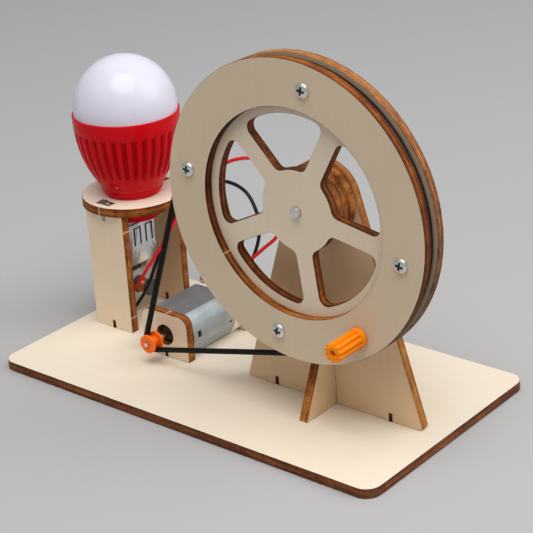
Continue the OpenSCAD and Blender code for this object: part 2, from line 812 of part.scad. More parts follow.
module motor_end_cap() {
    lip = 2;
    color(cream_color) translate([motor_x, 0, motor_z]) difference() {
        union() {
            upright(cap_front_y, cap_l) motor_2d(0);
            upright(cap_front_y - lip, lip + cut) motor_2d(can_wall + snug_clear);
            bar_y(motor_boss_d / 2, motor_back_y - cut, motor_boss_l + cut);
        }
        upright(cap_front_y - lip - cut, lip + cut + cap_l - can_wall) motor_2d(2 * can_wall);
        bar_y(bushing_r + snug_clear, cap_front_y, cap_l + motor_boss_l + cut);
        for (s = [-1, 1]) translate([s * terminal_x, terminal_y, motor_h / 2])
            cube([terminal_w + 2 * snug_clear, terminal_t + 2 * snug_clear, 2 * terminal_seat],
                center = true);
    }
}

// Bronze sleeves in the two bosses, in which the shaft turns
module motor_bushings() {
    front_l = motor_boss_l + can_wall;
    places = [can_front_y - motor_boss_l, motor_back_y - can_wall];
    color(brass_color) translate([motor_x, 0, motor_z]) for (y = places)
        difference() {
            bar_y(bushing_r, y, front_l);
            bar_y(shaft_bore_r, y - cut, front_l + 2 * cut);
        }
}

// Brass tabs on top of the end cap, to which the wires are soldered
module motor_terminals() {
    z = motor_z + motor_h / 2 - terminal_seat;
    color(brass_color) for (s = [-1, 1])
        translate([motor_x + s * terminal_x - terminal_w / 2, terminal_y - terminal_t / 2, z])
            cube([terminal_w, terminal_t, terminal_h + terminal_seat]);
}

module motor_brushes() {
    reach = motor_h / 2 - 2 * can_wall - commutator_r - run_clear;
    color(copper_color) translate([motor_x, cap_front_y, motor_z]) for (s = [-1, 1])
        translate([-brush_t / 2, 0, s * (commutator_r + run_clear + reach / 2) - reach / 2])
            cube([brush_t, brush_w, reach]);
}

module motor_magnets() {
    l = can_l - 2 * can_wall - magnet_room;
    h = motor_h - 2 * can_wall - 2 * snug_clear - magnet_room;
    y = can_front_y + can_wall + magnet_inset;
    color(ferrite_color) translate([motor_x, 0, motor_z]) intersection() {
        difference() {
            bar_y(magnet_r, y, l);
            bar_y(magnet_r - magnet_t, y - cut, l + 2 * cut);
        }
        for (s = [-1, 1]) translate([s * motor_w / 2, can_front_y + can_l / 2, 0])
            cube([motor_w - magnet_room, can_l, h], center = true);
    }
}

// Three pole iron core on the shaft
module armature_core() {
    color(steel_color) translate([motor_x, 0, motor_z]) upright(core_front_y, core_l) difference() {
        union() {
            circle(core_hub_r);
            for (i = [0 : pole_n - 1]) rotate(i * 360 / pole_n) {
                translate([0, -pole_w / 2]) square([armature_r - pole_tip / 2, pole_w]);
                intersection() {
                    difference() {
                        circle(armature_r);
                        circle(armature_r - pole_tip);
                    }
                    polygon([[0, 0], 2 * armature_r * [cos(pole_span / 2), -sin(pole_span / 2)],
                        2 * armature_r * [cos(pole_span / 2), sin(pole_span / 2)]]);
                }
            }
        }
        circle(shaft_r + snug_clear);
    }
}

// Coils round the three poles, as plain closed loops inside the can
module armature_windings() {
    inner_x = core_hub_r + winding_room;
    side = winding_side;
    tip_r = armature_r - pole_tip;
    outer_x = sqrt(pow(tip_r, 2) - pow(pole_w / 2 + side, 2)) - winding_room;
    color(copper_color) translate([motor_x, 0, motor_z]) for (i = [0 : pole_n - 1])
        rotate([0, -i * 360 / pole_n, 0])
            translate([inner_x, core_front_y - winding_l, -pole_w / 2 - side]) difference() {
                cube([outer_x - inner_x, core_l + 2 * winding_l, pole_w + 2 * side]);
                translate([-cut, winding_l - snug_clear, side - snug_clear])
                    cube([outer_x - inner_x + 2 * cut, core_l + 2 * snug_clear, pole_w + 2 * snug_clear]);
            }
}

module commutator() {
    color(copper_color) translate([motor_x, 0, motor_z]) difference() {
        bar_y(commutator_r, commutator_y, commutator_l);
        bar_y(shaft_r + snug_clear, commutator_y - cut, commutator_l + 2 * cut);
    }
}

module bracket(y) {
    foot = bracket_w / 2;
    color(ply_color) translate([motor_x, 0, ply_t]) difference() {
        upright(y, ply_t) difference() {
            union() {
                soft_polygon([[foot, bracket_h], [-foot, bracket_h], [-foot, 0], [foot, 0]],
                    [bracket_corner_r, bracket_corner_r]);
                tab_2d(0, bracket_tab_w);
            }
            slit_2d(0, bracket_slit_h);
        }
        translate([0, 0, motor_h / 2]) bar_y(bracket_hole_d / 2, y - cut, ply_t + 2 * cut);
    }
}

module motor_front_bracket() {
    bracket(front_bracket_y);
}

module motor_rear_bracket() {
    bracket(motor_back_y);
}

module tower_board(y) {
    color(ply_color) translate([tower_x, 0, ply_t]) upright(y, ply_t) difference() {
        union() {
            translate([-tower_w / 2, 0]) square([tower_w, tower_h]);
            tab_2d(0, tower_tab_w);
            translate([-tower_tab_w / 2, tower_h - cut]) square([tower_tab_w, ply_t - tab_short + cut]);
        }
        slit_2d(0, slit_h);
        translate([-slit_w / 2, tower_h - slit_h]) square([slit_w, slit_h + ply_t]);
    }
}

module tower_front_board() {
    tower_board(front_board_y);
}

module tower_rear_board() {
    tower_board(rear_board_y);
}

module lamp_plate() {
    color(ply_color) difference() {
        translate([tower_x, tower_y, tower_top_z]) cylinder(r = plate_r, h = ply_t);
        translate([tower_x, tower_y, tower_top_z - cut])
            cylinder(r = neck_r + lamp_clear, h = ply_t + 2 * cut);
        for (s = [-1, 1]) slot(tower_x, tower_y + s * tower_tab_mid, tower_tab_w, ply_t, tower_top_z);
    }
}

// Outer side of the cup between two heights, pressed in by a depth
function cup_line(low, high, depth) =
    [for (i = [0 : cup_steps]) let (h = low + (high - low) * i / cup_steps) [cup_side(h) - depth, h]];

module lamp_cup() {
    below = ply_t + neck_below;
    ledge_r = led_board_r + led_board_room;
    seat_z = cup_h - dome_seat;
    seat_r = dome_r + run_clear;
    rib_angle = 360 / rib_n * rib_share;
    low = rib_low - rib_root;
    high = rib_high + rib_root;
    color(red_color) translate([tower_x, tower_y, plate_top_z]) {
        rotate_extrude() polygon(concat(
            [[0, -below], [neck_r, -below], [neck_r, 0], [cup_foot_r - 2 * cup_step_in, 0],
                [cup_foot_r - cup_step_in, cup_chamfer], [cup_foot_r - cup_step_in, cup_foot_step],
                [cup_foot_r, cup_foot_step]],
            cup_line(cup_foot_h, rib_low, 0),
            cup_line(rib_low, rib_high, flute_depth),
            cup_line(rib_high, cup_h, 0),
            [[seat_r, cup_h], [seat_r, seat_z], [ledge_r, seat_z], [ledge_r, led_board_z],
                [led_board_r - cup_ledge, led_board_z], [cup_foot_r - cup_floor_in, cup_floor],
                [0, cup_floor]]));
        for (i = [0 : rib_n - 1]) rotate(i * 360 / rib_n) rotate_extrude(angle = rib_angle) polygon(concat(
            cup_line(low, high, rib_sink),
            [[cup_side(high) - 2 * flute_depth, high], [cup_side(low) - 2 * flute_depth, low]]));
    }
}

module lamp_dome() {
    centre = dome_seat + dome_rise;
    bottom = plate_top_z + cup_h - dome_seat;
    color(white_color) translate([tower_x, tower_y, bottom]) rotate_extrude() difference() {
        union() {
            square([dome_r, centre]);
            intersection() {
                translate([0, centre]) circle(dome_r);
                translate([0, centre]) square([dome_r, dome_r]);
            }
        }
        translate([0, -cut]) square([dome_r - dome_wall, centre + cut]);
        translate([0, centre]) circle(dome_r - dome_wall);
    }
}

module led_board() {
    color(white_color) translate([tower_x, tower_y, plate_top_z + led_board_z])
        cylinder(r = led_board_r, h = led_board_t);
}

module leds() {
    color(cream_color) for (i = [0 : led_n - 1])
        translate([tower_x, tower_y, plate_top_z + led_board_z + led_board_t]) rotate(i * 360 / led_n)
            translate([led_ring_r - led_w / 2, -led_w / 2, 0]) cube([led_w, led_w, led_h]);
}

// Rectangular tube, standing on height z and centred on the lamp's axis
module shell_tube(t, w, z, l) {
    translate([tower_x, tower_y, z]) linear_extrude(l) difference() {
        square([t, w], center = true);
        square([t - 2 * shell_wall, w - 2 * shell_wall], center = true);
    }
}

module plug_shell() {
    color(steel_color) shell_tube(plug_t, plug_w, plug_bottom_z, plug_l);
}

// Insulator on the board side of the plug, with a root that fills the shell's upper end
module plug_insert() {
    inner_t = plug_t - 2 * shell_wall - 2 * snug_clear;
    inner_w = plug_w - 2 * shell_wall - 2 * snug_clear;
    color(white_color) translate([tower_x - inner_t / 2, tower_y - inner_w / 2, plug_bottom_z]) {
        translate([0, 0, insert_recess]) cube([insert_t, inner_w, plug_l - insert_recess]);
        translate([0, 0, plug_l - insert_root]) cube([inner_t, inner_w, insert_root]);
    }
}

module socket_shell() {
    out_x = tower_x + socket_t / 2;
    mid_z = socket_top_z - spring_top - spring_h / 2;
    color(steel_color) difference() {
        shell_tube(socket_t, socket_w, socket_bottom_z, socket_l);
        for (s = [-1, 1]) translate([out_x, tower_y + s * spring_side, mid_z]) difference() {
            cube([4 * shell_wall, spring_w + 2 * spring_gap, spring_h], center = true);
            translate([0, 0, -spring_gap]) cube([4 * shell_wall + cut, spring_w, spring_h], center = true);
        }
    }
}

// Block at the back of the socket and the tongue that enters the plug
module socket_tongue() {
    inner_t = socket_t - 2 * shell_wall - 2 * snug_clear;
    inner_w = socket_w - 2 * shell_wall - 2 * snug_clear;
    tongue_x = tower_x + plug_t / 2 - shell_wall - plug_clear - tongue_t;
    color(white_color) {
        translate([tower_x - inner_t / 2, tower_y - inner_w / 2, socket_bottom_z])
            cube([inner_t, inner_w, socket_block_h]);
        translate([tongue_x, tower_y - tongue_w / 2, socket_bottom_z + socket_block_h - cut])
            cube([tongue_t, tongue_w, tongue_l + cut]);
    }
}

module booster_board() {
    color(board_color) translate([pcb_face_x - pcb_t, tower_y - pcb_w / 2, ply_t])
        cube([pcb_t, pcb_w, pcb_l]);
}

// Drum of ferrite with two flanges, standing out from the board
module at_inductor() {
    translate([pcb_face_x, inductor_y, inductor_z]) rotate([0, 90, 0]) children();
}

module inductor_core() {
    edge = inductor_d / 2;
    color(ferrite_color) at_inductor() rotate_extrude() {
        square([edge, inductor_flange]);
        square([waist_d / 2, inductor_h]);
        translate([0, inductor_h - inductor_flange]) square([edge, inductor_flange]);
    }
}

module inductor_winding() {
    color(copper_color) at_inductor() translate([0, 0, inductor_flange + snug_clear]) rotate_extrude()
        translate([waist_d / 2 + snug_clear, 0])
            square([(winding_d - waist_d) / 2, inductor_h - 2 * inductor_flange - 2 * snug_clear]);
}

module booster_capacitors() {
    color(cream_color) for (s = [-1, 1])
        translate([pcb_face_x, tower_y + s * capacitor_side - capacitor_size[1] / 2,
            part_z - capacitor_size[2] / 2])
            cube(capacitor_size);
}

module booster_chip() {
    color(black_color) translate([pcb_face_x, tower_y, part_z] - [0, chip_size[1], chip_size[2]] / 2)
        cube(chip_size);
}

module red_wire() {
    color(red_color) wire(concat([red_pad], red_route, [[motor_x - terminal_x, solder_y, solder_z]]));
}

module black_wire() {
    color(black_color) wire(concat([black_pad], black_route, [[motor_x + terminal_x, solder_y, solder_z]]));
}

base_board();
stand_plate();
stand_gusset();
bearing_disc_front();
bearing_disc_back();
wheel_front_ring();
wheel_spoke_disc();
wheel_rear_ring();
wheel_hub_disc();
wheel_screws();
wheel_nuts();
wheel_axle();
axle_collar();
handle_knob();
handle_pin();
drive_belt();
motor_pulley();
motor_shaft();
motor_can();
motor_end_cap();
motor_bushings();
motor_terminals();
motor_brushes();
motor_magnets();
armature_core();
armature_windings();
commutator();
motor_front_bracket();
motor_rear_bracket();
tower_front_board();
tower_rear_board();
lamp_plate();
lamp_cup();
lamp_dome();
led_board();
leds();
plug_shell();
plug_insert();
socket_shell();
socket_tongue();
booster_board();
inductor_core();
inductor_winding();
booster_capacitors();
booster_chip();
red_wire();
black_wire();
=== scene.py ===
"""Looks of the hand crank generator: laser cut plywood, a belt driven toy motor and a plug-in lamp.

Every piece is in metres in the frame of the CAD model: +X from the lamp tower to the wheel stand,
+Y to the back, +Z up.
"""

import logging
import math
from dataclasses import dataclass, field
from enum import Enum
from functools import partialmethod, reduce
from typing import Any, Dict, List, Mapping, Optional, Sequence, Tuple, Union

import bmesh
import bpy
from mathutils import Matrix, Vector


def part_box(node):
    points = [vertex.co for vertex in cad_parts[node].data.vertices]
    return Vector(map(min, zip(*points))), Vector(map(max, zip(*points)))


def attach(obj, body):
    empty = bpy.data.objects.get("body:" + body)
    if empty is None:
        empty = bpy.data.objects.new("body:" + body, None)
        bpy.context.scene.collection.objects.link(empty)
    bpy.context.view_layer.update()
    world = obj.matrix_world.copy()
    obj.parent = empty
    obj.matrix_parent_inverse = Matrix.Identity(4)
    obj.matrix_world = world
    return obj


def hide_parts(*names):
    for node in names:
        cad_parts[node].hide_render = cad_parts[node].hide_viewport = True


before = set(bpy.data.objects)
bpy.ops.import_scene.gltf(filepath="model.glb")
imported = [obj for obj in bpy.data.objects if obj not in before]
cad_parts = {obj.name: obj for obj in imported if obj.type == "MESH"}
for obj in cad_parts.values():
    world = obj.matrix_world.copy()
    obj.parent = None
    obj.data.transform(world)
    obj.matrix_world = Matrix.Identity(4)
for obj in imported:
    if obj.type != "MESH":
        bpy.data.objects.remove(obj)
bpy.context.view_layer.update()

LOG = logging.getLogger("hand_crank_generator")
MM = 0.001
FULL_TURN = 2 * math.pi

Colour = Tuple[float, float, float]
Point = Tuple[float, float, float]
Mesh = bmesh.types.BMesh
Material = bpy.types.Material
Socket = bpy.types.NodeSocket
ORIGIN: Point = (0.0, 0.0, 0.0)


class Axis(Enum):
    """Axis of the model's frame."""

    X = 0
    Y = 1
    Z = 2


class Body(Enum):
    """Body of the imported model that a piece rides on."""

    FRAME = "frame"
    WHEEL = "wheel"
    HANDLE = "handle"
    ROTOR = "rotor"
    LAMP = "lamp"


class Slot(Enum):
    """Kind of material, passed along with each piece."""

    PLYWOOD = "plywood"
    STEEL = "steel"
    ORANGE = "orange_plastic"
    BELT = "belt_rubber"
    CREAM = "cream_plastic"
    BRASS = "brass"
    COPPER = "copper"
    FERRITE = "ferrite"
    RED = "red_plastic"
    DOME = "dome_plastic"
    BOARD = "circuit_board"
    CAPACITOR = "capacitor"
    BLACK = "black_plastic"
    RED_WIRE = "red_insulation"
    BLACK_WIRE = "black_insulation"


class Timber(Enum):
    """Pale and deep colour of a board's veneer; the shaded rows also hold painted shade."""

    CREAM = ((0.83, 0.735, 0.605), (0.785, 0.68, 0.535))
    STRAW = ((0.83, 0.675, 0.490), (0.78, 0.610, 0.425))
    FAWN = ((0.745, 0.625, 0.480), (0.69, 0.560, 0.410))
    HONEY = ((0.638, 0.514, 0.363), (0.590, 0.457, 0.308))
    # Warmer amber whose warmth and depth are partly painted shade and bounce light.
    AMBER = ((0.765, 0.555, 0.345), (0.705, 0.500, 0.290))
    # Darker copy of the amber: painted shade.
    TAN = ((0.675, 0.468, 0.278), (0.622, 0.422, 0.234))


class Value:
    """One number in a shader, with the arithmetic that the finishes use."""

    def __init__(self, graph: "Graph", socket: Socket) -> None:
        """Wrap the output socket of a material's graph."""
        self.graph = graph
        self.socket = socket

    def _math(self, operation: str, *others: Any) -> "Value":
        """Result of a Math node that has this value as its first operand."""
        node = self.graph.node("ShaderNodeMath", {"operation": operation}, dict(enumerate((self, *others))))
        return Value(self.graph, node.outputs[0])

    # Arithmetic, one Math node each
    __add__ = __radd__ = partialmethod(_math, "ADD")
    __sub__ = partialmethod(_math, "SUBTRACT")
    __mul__ = __rmul__ = partialmethod(_math, "MULTIPLY")
    __truediv__ = partialmethod(_math, "DIVIDE")
    __abs__ = partialmethod(_math, "ABSOLUTE")
    largest = partialmethod(_math, "MAXIMUM")
    smallest = partialmethod(_math, "MINIMUM")
    root = partialmethod(_math, "SQRT")

    def __rsub__(self, other: float) -> "Value":
        """Difference from a number."""
        return self * -1.0 + other

    def clamp(self) -> "Value":
        """Value held between 0 and 1."""
        return self.largest(0.0).smallest(1.0)


Feed = Union[Value, Socket, float, Sequence[float]]


class Graph:
    """Node graph of one material, with coordinates in millimetres."""

    def __init__(self, name: str) -> None:
        """Start a material.

        Args:
            name: The material's name.
        """
        self.material = bpy.data.materials.new(name)
        self.material.use_nodes = True
        self.tree = self.material.node_tree
        self.shader = self.tree.nodes["Principled BSDF"]

    def feed(self, socket: Socket, value: Feed) -> None:
        """Link or set one input socket.

        Args:
            socket: The input.
            value: A shader value, an output socket or a constant.
        """
        source = value.socket if isinstance(value, Value) else value
        if isinstance(source, Socket):
            self.tree.links.new(source, socket)
        else:
            socket.default_value = source

    def node(self, kind: str, settings: Optional[Mapping[str, Any]] = None,
             inputs: Optional[Mapping[Any, Feed]] = None) -> bpy.types.Node:
        """Add one node.

        Args:
            kind: The node's type.
            settings: Its settings, set first; stops fills a colour ramp.
            inputs: What its sockets take, by name or number.

        Returns:
            The new node.
        """
        node = self.tree.nodes.new(kind)
        for key, setting in (settings or {}).items():
            if key == "stops":
                self._fill_ramp(node, setting)
            else:
                setattr(node, key, setting)
        for key, value in (inputs or {}).items():
            self.feed(node.inputs[key], value)
        return node

    @staticmethod
    def _fill_ramp(node: bpy.types.Node, stops: Sequence[Tuple[float, Colour]]) -> None:
        """Set a colour ramp's stops.

        Args:
            node: The ramp.
            stops: Position and colour of each stop.
        """
        elements = node.color_ramp.elements
        while len(elements) < len(stops):
            elements.new(1.0)
        for element, (position, colour) in zip(elements, stops):
            element.position = position
            element.color = (*colour, 1.0)

    def coords(self, offset: Point = ORIGIN, scale: Point = (1.0, 1.0, 1.0)) -> Socket:
        """Object coordinates in millimetres.

        Args:
            offset: Shift of the pattern, in scaled millimetres.
            scale: Stretch of the pattern along each axis.

        Returns:
            The mapped coordinate.
        """
        source = self.node("ShaderNodeTexCoord").outputs["Object"]
        per_metre = tuple(s / MM for s in scale)
        mapping = self.node("ShaderNodeMapping", {"vector_type": "POINT"},
                            {"Vector": source, "Location": offset, "Scale": per_metre})
        return mapping.outputs[0]

    def noise(self, offset: Point, scale: float, detail: float = 3.0, roughness: float = 0.5,
              stretch: Point = (1.0, 1.0, 1.0)) -> Value:
        """Noise between 0 and 1.

        Args:
            offset: Shift of the pattern.
            scale: Cycles per millimetre.
            detail: Number of finer layers.
            roughness: Weight of the finer layers.
            stretch: Stretch of the pattern along each axis.

        Returns:
            The noise.
        """
        inputs = {"Vector": self.coords(offset, stretch), "Scale": scale, "Detail": detail,
                  "Roughness": roughness}
        return Value(self, self.node("ShaderNodeTexNoise", None, inputs).outputs[0])

    def streaks(self, axis: Axis, lengthwise: float, crosswise: float, seed: float, detail: float = 3.0,
                roughness: float = 0.5) -> Value:
        """Noise that follows one axis, for grain and brushing.

        Args:
            axis: The axis that the streaks follow.
            lengthwise: Cycles per millimetre along it.
            crosswise: Cycles per millimetre across it.
            seed: Shift that gives each piece its own pattern.
            detail: Number of finer layers.
            roughness: Weight of the finer layers.

        Returns:
            The noise.
        """
        stretch = [crosswise] * 3
        stretch[axis.value] = lengthwise
        return self.noise((seed, seed * 1.7, seed * 2.3), 1.0, detail, roughness, tuple(stretch))

    def place(self) -> Tuple[Value, Value, Value]:
        """The three coordinates in millimetres."""
        node = self.node("ShaderNodeSeparateXYZ", None, {0: self.coords()})
        return tuple(Value(self, s) for s in node.outputs)

    def reach(self, centre: Point, axes: Sequence[Axis]) -> Value:
        """Distance from a point within a plane.

        Args:
            centre: The point, in millimetres.
            axes: The plane's two axes.

        Returns:
            The distance in millimetres.
        """
        parts = self.place()
        first, second = (parts[a.value] - centre[a.value] for a in axes)
        return (first * first + second * second).root()

    def mix(self, factor: Feed, first: Feed, second: Feed) -> Socket:
        """Blend two colours or colour sockets by the second one's share."""
        low, high = ((*c, 1.0) if isinstance(c, tuple) else c for c in (first, second))
        return self.node("ShaderNodeMix", {"data_type": "RGBA"}, {0: factor, 6: low, 7: high}).outputs[2]

    def ramp(self, factor: Value, stops: Sequence[Tuple[float, Colour]]) -> Socket:
        """Colour that follows a value through stops."""
        return self.node("ShaderNodeValToRGB", {"stops": stops}, {0: factor}).outputs[0]

    def bump(self, height: Value, depth: float, strength: float = 1.0) -> Socket:
        """Normal of a relief with heights from 0 to 1 and a depth in millimetres."""
        inputs = {"Height": height, "Distance": depth * MM, "Strength": strength}
        return self.node("ShaderNodeBump", None, inputs).outputs[0]

    def shade(self, **sockets: Feed) -> Material:
        """Feed the shader and return the material.

        Args:
            sockets: Shader inputs, with an underscore for each space in the name.

        Returns:
            The finished material.
        """
        for name, value in sockets.items():
            constant_colour = isinstance(value, tuple) and len(value) == 3 and "Color" in name
            self.feed(self.shader.inputs[name.replace("_", " ")], (*value, 1.0) if constant_colour else value)
        return self.material


@dataclass(frozen=True)
class EdgeShadeSlope:
    """Painted shade on a cut edge that deepens along a slope, with another slope in the bore of a ring."""

    centre: Point
    slope: Point
    bore_slope: Optional[Point] = None
    bore_r: float = 38.0

    def painted_shade(self, graph: Graph) -> Value:
        """How much painted shade darkens the edge.

        Args:
            graph: The edge's graph.

        Returns:
            The painted shade.
        """
        gaps = [part - place for part, place in zip(graph.place(), self.centre)]

        def rise(slope: Point) -> Value:
            """Growth along one slope."""
            return gaps[0] * slope[0] + gaps[1] * slope[1] + gaps[2] * slope[2]

        painted_shade = rise(self.slope)
        if self.bore_slope is None:
            return painted_shade
        inside = (self.bore_r - graph.reach(self.centre, (Axis.X, Axis.Z))).clamp()
        return painted_shade + (rise(self.bore_slope) - painted_shade) * inside


@dataclass(frozen=True)
class Plywood:
    """Laser cut basswood plywood: pale faces with faint grain, and burnt cut edges with ply lines.

    It is named for its board's CAD node. Lengths are in millimetres, and the ply lines' places are shares
    of the thickness. A nick is a pale spot on the edge where the piece was held in its sheet.
    """

    name: str
    sheet: Axis
    grain: Axis
    seed: float
    timber: Timber = Timber.HONEY
    nicks: Tuple[Point, ...] = ()
    char: float = 0.0
    mottle: float = 0.85
    # Soot stain on the faces near a round board's rim, partly real and partly painted shade.
    smoke_and_shade: Optional[Tuple[Point, float]] = None
    # Painted shade on the cut edges, deepening along a slope.
    edge_shade: Optional[EdgeShadeSlope] = None
    bare: float = 0.0
    thickness: float = 3.0
    fleck: Colour = (0.50, 0.36, 0.22)
    # Colour and reach of the rim's soot stain and painted shade.
    smoke_shade: Colour = (0.24, 0.12, 0.05)
    smoke_shade_width: float = 3.6
    smoke_shade_fade: float = 2.2
    nick_r: float = 0.17
    line: Colour = (0.050, 0.016, 0.005)
    line_places: Tuple[float, float] = (0.335, 0.665)
    line_half: float = 0.045
    browns: Tuple[Tuple[float, Colour], ...] = (
        (0.10, (0.030, 0.008, 0.003)), (0.32, (0.150, 0.034, 0.005)), (0.55, (0.365, 0.115, 0.018)),
        (0.80, (0.620, 0.285, 0.065)), (1.00, (0.780, 0.460, 0.170)))

    def _flat(self) -> List[Axis]:
        """The two axes of the board's plane."""
        return [a for a in Axis if a is not self.sheet]

    def face(self) -> Material:
        """Make the material of the flat faces.

        Returns:
            The finished material.
        """
        graph = Graph(f"{self.name}_face")
        streak = graph.streaks(self.grain, 0.02, 0.42, self.seed, 6.0, 0.62)
        fine = graph.streaks(self.grain, 0.14, 3.4, self.seed, 3.0, 0.55)
        broad = graph.noise((self.seed, 0.0, self.seed), 0.028, 2.0)
        tone = ((streak - 0.5) * 0.9 + (broad - 0.5) * 1.6 + 0.42).clamp()
        pore = ((0.36 - fine) * 3.0).clamp() * 0.22
        colour = graph.mix(pore, graph.mix(tone, *self.timber.value), self.fleck)
        # Soot stain and painted shade towards the rim.
        if self.smoke_and_shade is not None:
            colour = graph.mix(self._smoke_and_shade_mask(graph) * 0.42, colour, self.smoke_shade)
        return graph.shade(Base_Color=colour, Roughness=streak * 0.16 + 0.52,
                           Normal=graph.bump(fine * 0.7 + streak * 0.3, 0.02, 0.35))

    def _smoke_and_shade_mask(self, graph: Graph) -> Value:
        """Mask of the soot stain, partly painted shade, which grows towards a round board's rim."""
        centre, radius = self.smoke_and_shade
        return ((graph.reach(centre, self._flat()) - (radius - self.smoke_shade_width)) / self.smoke_shade_fade).clamp()

    def _nick_mask(self, graph: Graph) -> Optional[Value]:
        """Where the pale nicks are.

        Args:
            graph: The edge's graph.

        Returns:
            A mask, or nothing for a piece with no nicks.
        """
        spots = [(1.8 - graph.reach(nick, self._flat()) / self.nick_r).clamp() for nick in self.nicks]
        return reduce(Value.largest, spots) if spots else None

    def edge(self) -> Material:
        """Make the material of the burnt edges.

        Returns:
            The finished material.
        """
        graph = Graph(f"{self.name}_edge")
        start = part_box(self.name)[0][self.sheet.value] / MM
        depth = (graph.place()[self.sheet.value] - start) / self.thickness
        blotch = graph.noise((self.seed, self.seed, 0.0), 0.24, 5.0, 0.62)
        striae = graph.streaks(self.sheet, 0.22, 2.4, self.seed, 2.0, 0.5)
        layer = graph.streaks(self.sheet, 1.9, 0.05, self.seed + 4.0, 2.0, 0.5)
        core = 1.0 - (depth * 2.0 - 1.0) * (depth * 2.0 - 1.0)
        char_and_shade = (blotch - 0.5) * self.mottle + striae * 0.26 + layer * 0.72 + core * 0.20 - (0.17 + self.char)
        # Painted shade: the edge darkens along its board's slope.
        if self.edge_shade is not None:
            char_and_shade = char_and_shade - self.edge_shade.painted_shade(graph)
        colour = graph.ramp(char_and_shade.clamp(), self.browns)
        if self.bare:
            shown = graph.streaks(self.sheet, 1.6, 0.5, self.seed + 9.0, 3.0, 0.6)
            colour = graph.mix(((shown - 0.38) * 3.0).clamp() * self.bare, colour, self.timber.value[1])
        front, back = ((1.0 - abs(depth - place) / self.line_half).clamp() for place in self.line_places)
        line = front.largest(back)
        colour = graph.mix(line * 0.62, colour, self.line)
        graph.shade(Specular_IOR_Level=0.15)
        mask = self._nick_mask(graph)
        if mask is not None:
            colour = graph.mix(mask * 0.6, colour, self.timber.value[0])
        return graph.shade(Base_Color=colour, Roughness=striae * 0.2 + 0.58,
                           Normal=graph.bump(striae * 0.8 + line * -0.4, 0.06, 0.6))


@dataclass(frozen=True)
class Plastic:
    """Moulded plastic with a faint skin texture and slight changes of tone."""

    name: str
    colour: Colour
    roughness: float = 0.35
    coat: float = 0.0
    skin: float = 0.012
    tone: float = 0.12
    subsurface: float = 0.0
    shine: float = 0.5
    depth: float = 1.5

    def material(self) -> Material:
        """Make the material.

        Returns:
            The finished material.
        """
        graph = Graph(self.name)
        cloud = graph.noise((3.0, 1.0, 7.0), 0.22, 3.0, 0.55)
        grain = graph.noise((9.0, 4.0, 2.0), 5.5, 2.0, 0.5)
        darker = tuple(c * (1.0 - self.tone) for c in self.colour)
        colour = graph.mix(cloud, self.colour, darker)
        graph.shade(Specular_IOR_Level=self.shine, Coat_Weight=self.coat, Coat_Roughness=0.5 * self.roughness,
                    Subsurface_Weight=self.subsurface,
                    Subsurface_Radius=(1.0, 0.85, 0.85), Subsurface_Scale=self.depth * MM)
        return graph.shade(Base_Color=colour, Roughness=cloud * 0.12 + (self.roughness - 0.06),
                           Normal=graph.bump(grain, self.skin, 0.5))


@dataclass(frozen=True)
class Metal:
    """Drawn, turned or plated metal with fine lines along one axis."""

    name: str
    colour: Colour
    roughness: float = 0.3
    lines: Axis = Axis.Y
    stain: float = 0.18
    scratch: float = 0.010
    dent: float = 0.0

    def material(self) -> Material:
        """Make the material.

        Returns:
            The finished material.
        """
        graph = Graph(self.name)
        brushed = graph.streaks(self.lines, 0.10, 5.0, 2.0, 3.0, 0.6)
        streak = graph.streaks(self.lines, 0.05, 0.8, 6.0, 3.0, 0.6)
        cloud = graph.noise((5.0, 2.0, 8.0), 0.17, 4.0, 0.6)
        wave = graph.noise((4.0, 9.0, 1.0), 0.11, 1.0, 0.4)
        dull = tuple(c * (1.0 - self.stain) for c in self.colour)
        colour = graph.mix(((streak - 0.5) * 1.1 + cloud * 0.7 + brushed * 0.3).clamp(), self.colour, dull)
        graph.shade(Metallic=1.0)
        rough = cloud * 0.14 + brushed * 0.10 + (self.roughness - 0.12)
        return graph.shade(Base_Color=colour, Roughness=rough,
                           Normal=graph.bump(brushed * self.scratch + wave * self.dent, 1.0, 0.5))


@dataclass(frozen=True)
class BeltRubber:
    """Matt black rubber with a fine grain and a trace of dust."""

    name: str = "belt_rubber"
    rubber: Colour = (0.005, 0.005, 0.005)
    powder: Colour = (0.026, 0.025, 0.023)

    def material(self) -> Material:
        """Make the material.

        Returns:
            The finished material.
        """
        graph = Graph(self.name)
        dust = graph.noise((1.0, 6.0, 2.0), 0.5, 4.0, 0.65)
        grain = graph.noise(ORIGIN, 4.0, 2.0, 0.5)
        colour = graph.mix(((dust - 0.55) * 2.2).clamp() * 0.4, self.rubber, self.powder)
        graph.shade(Specular_IOR_Level=0.12)
        return graph.shade(Base_Color=colour, Roughness=dust * 0.2 + 0.45,
                           Normal=graph.bump(grain, 0.03, 0.6))


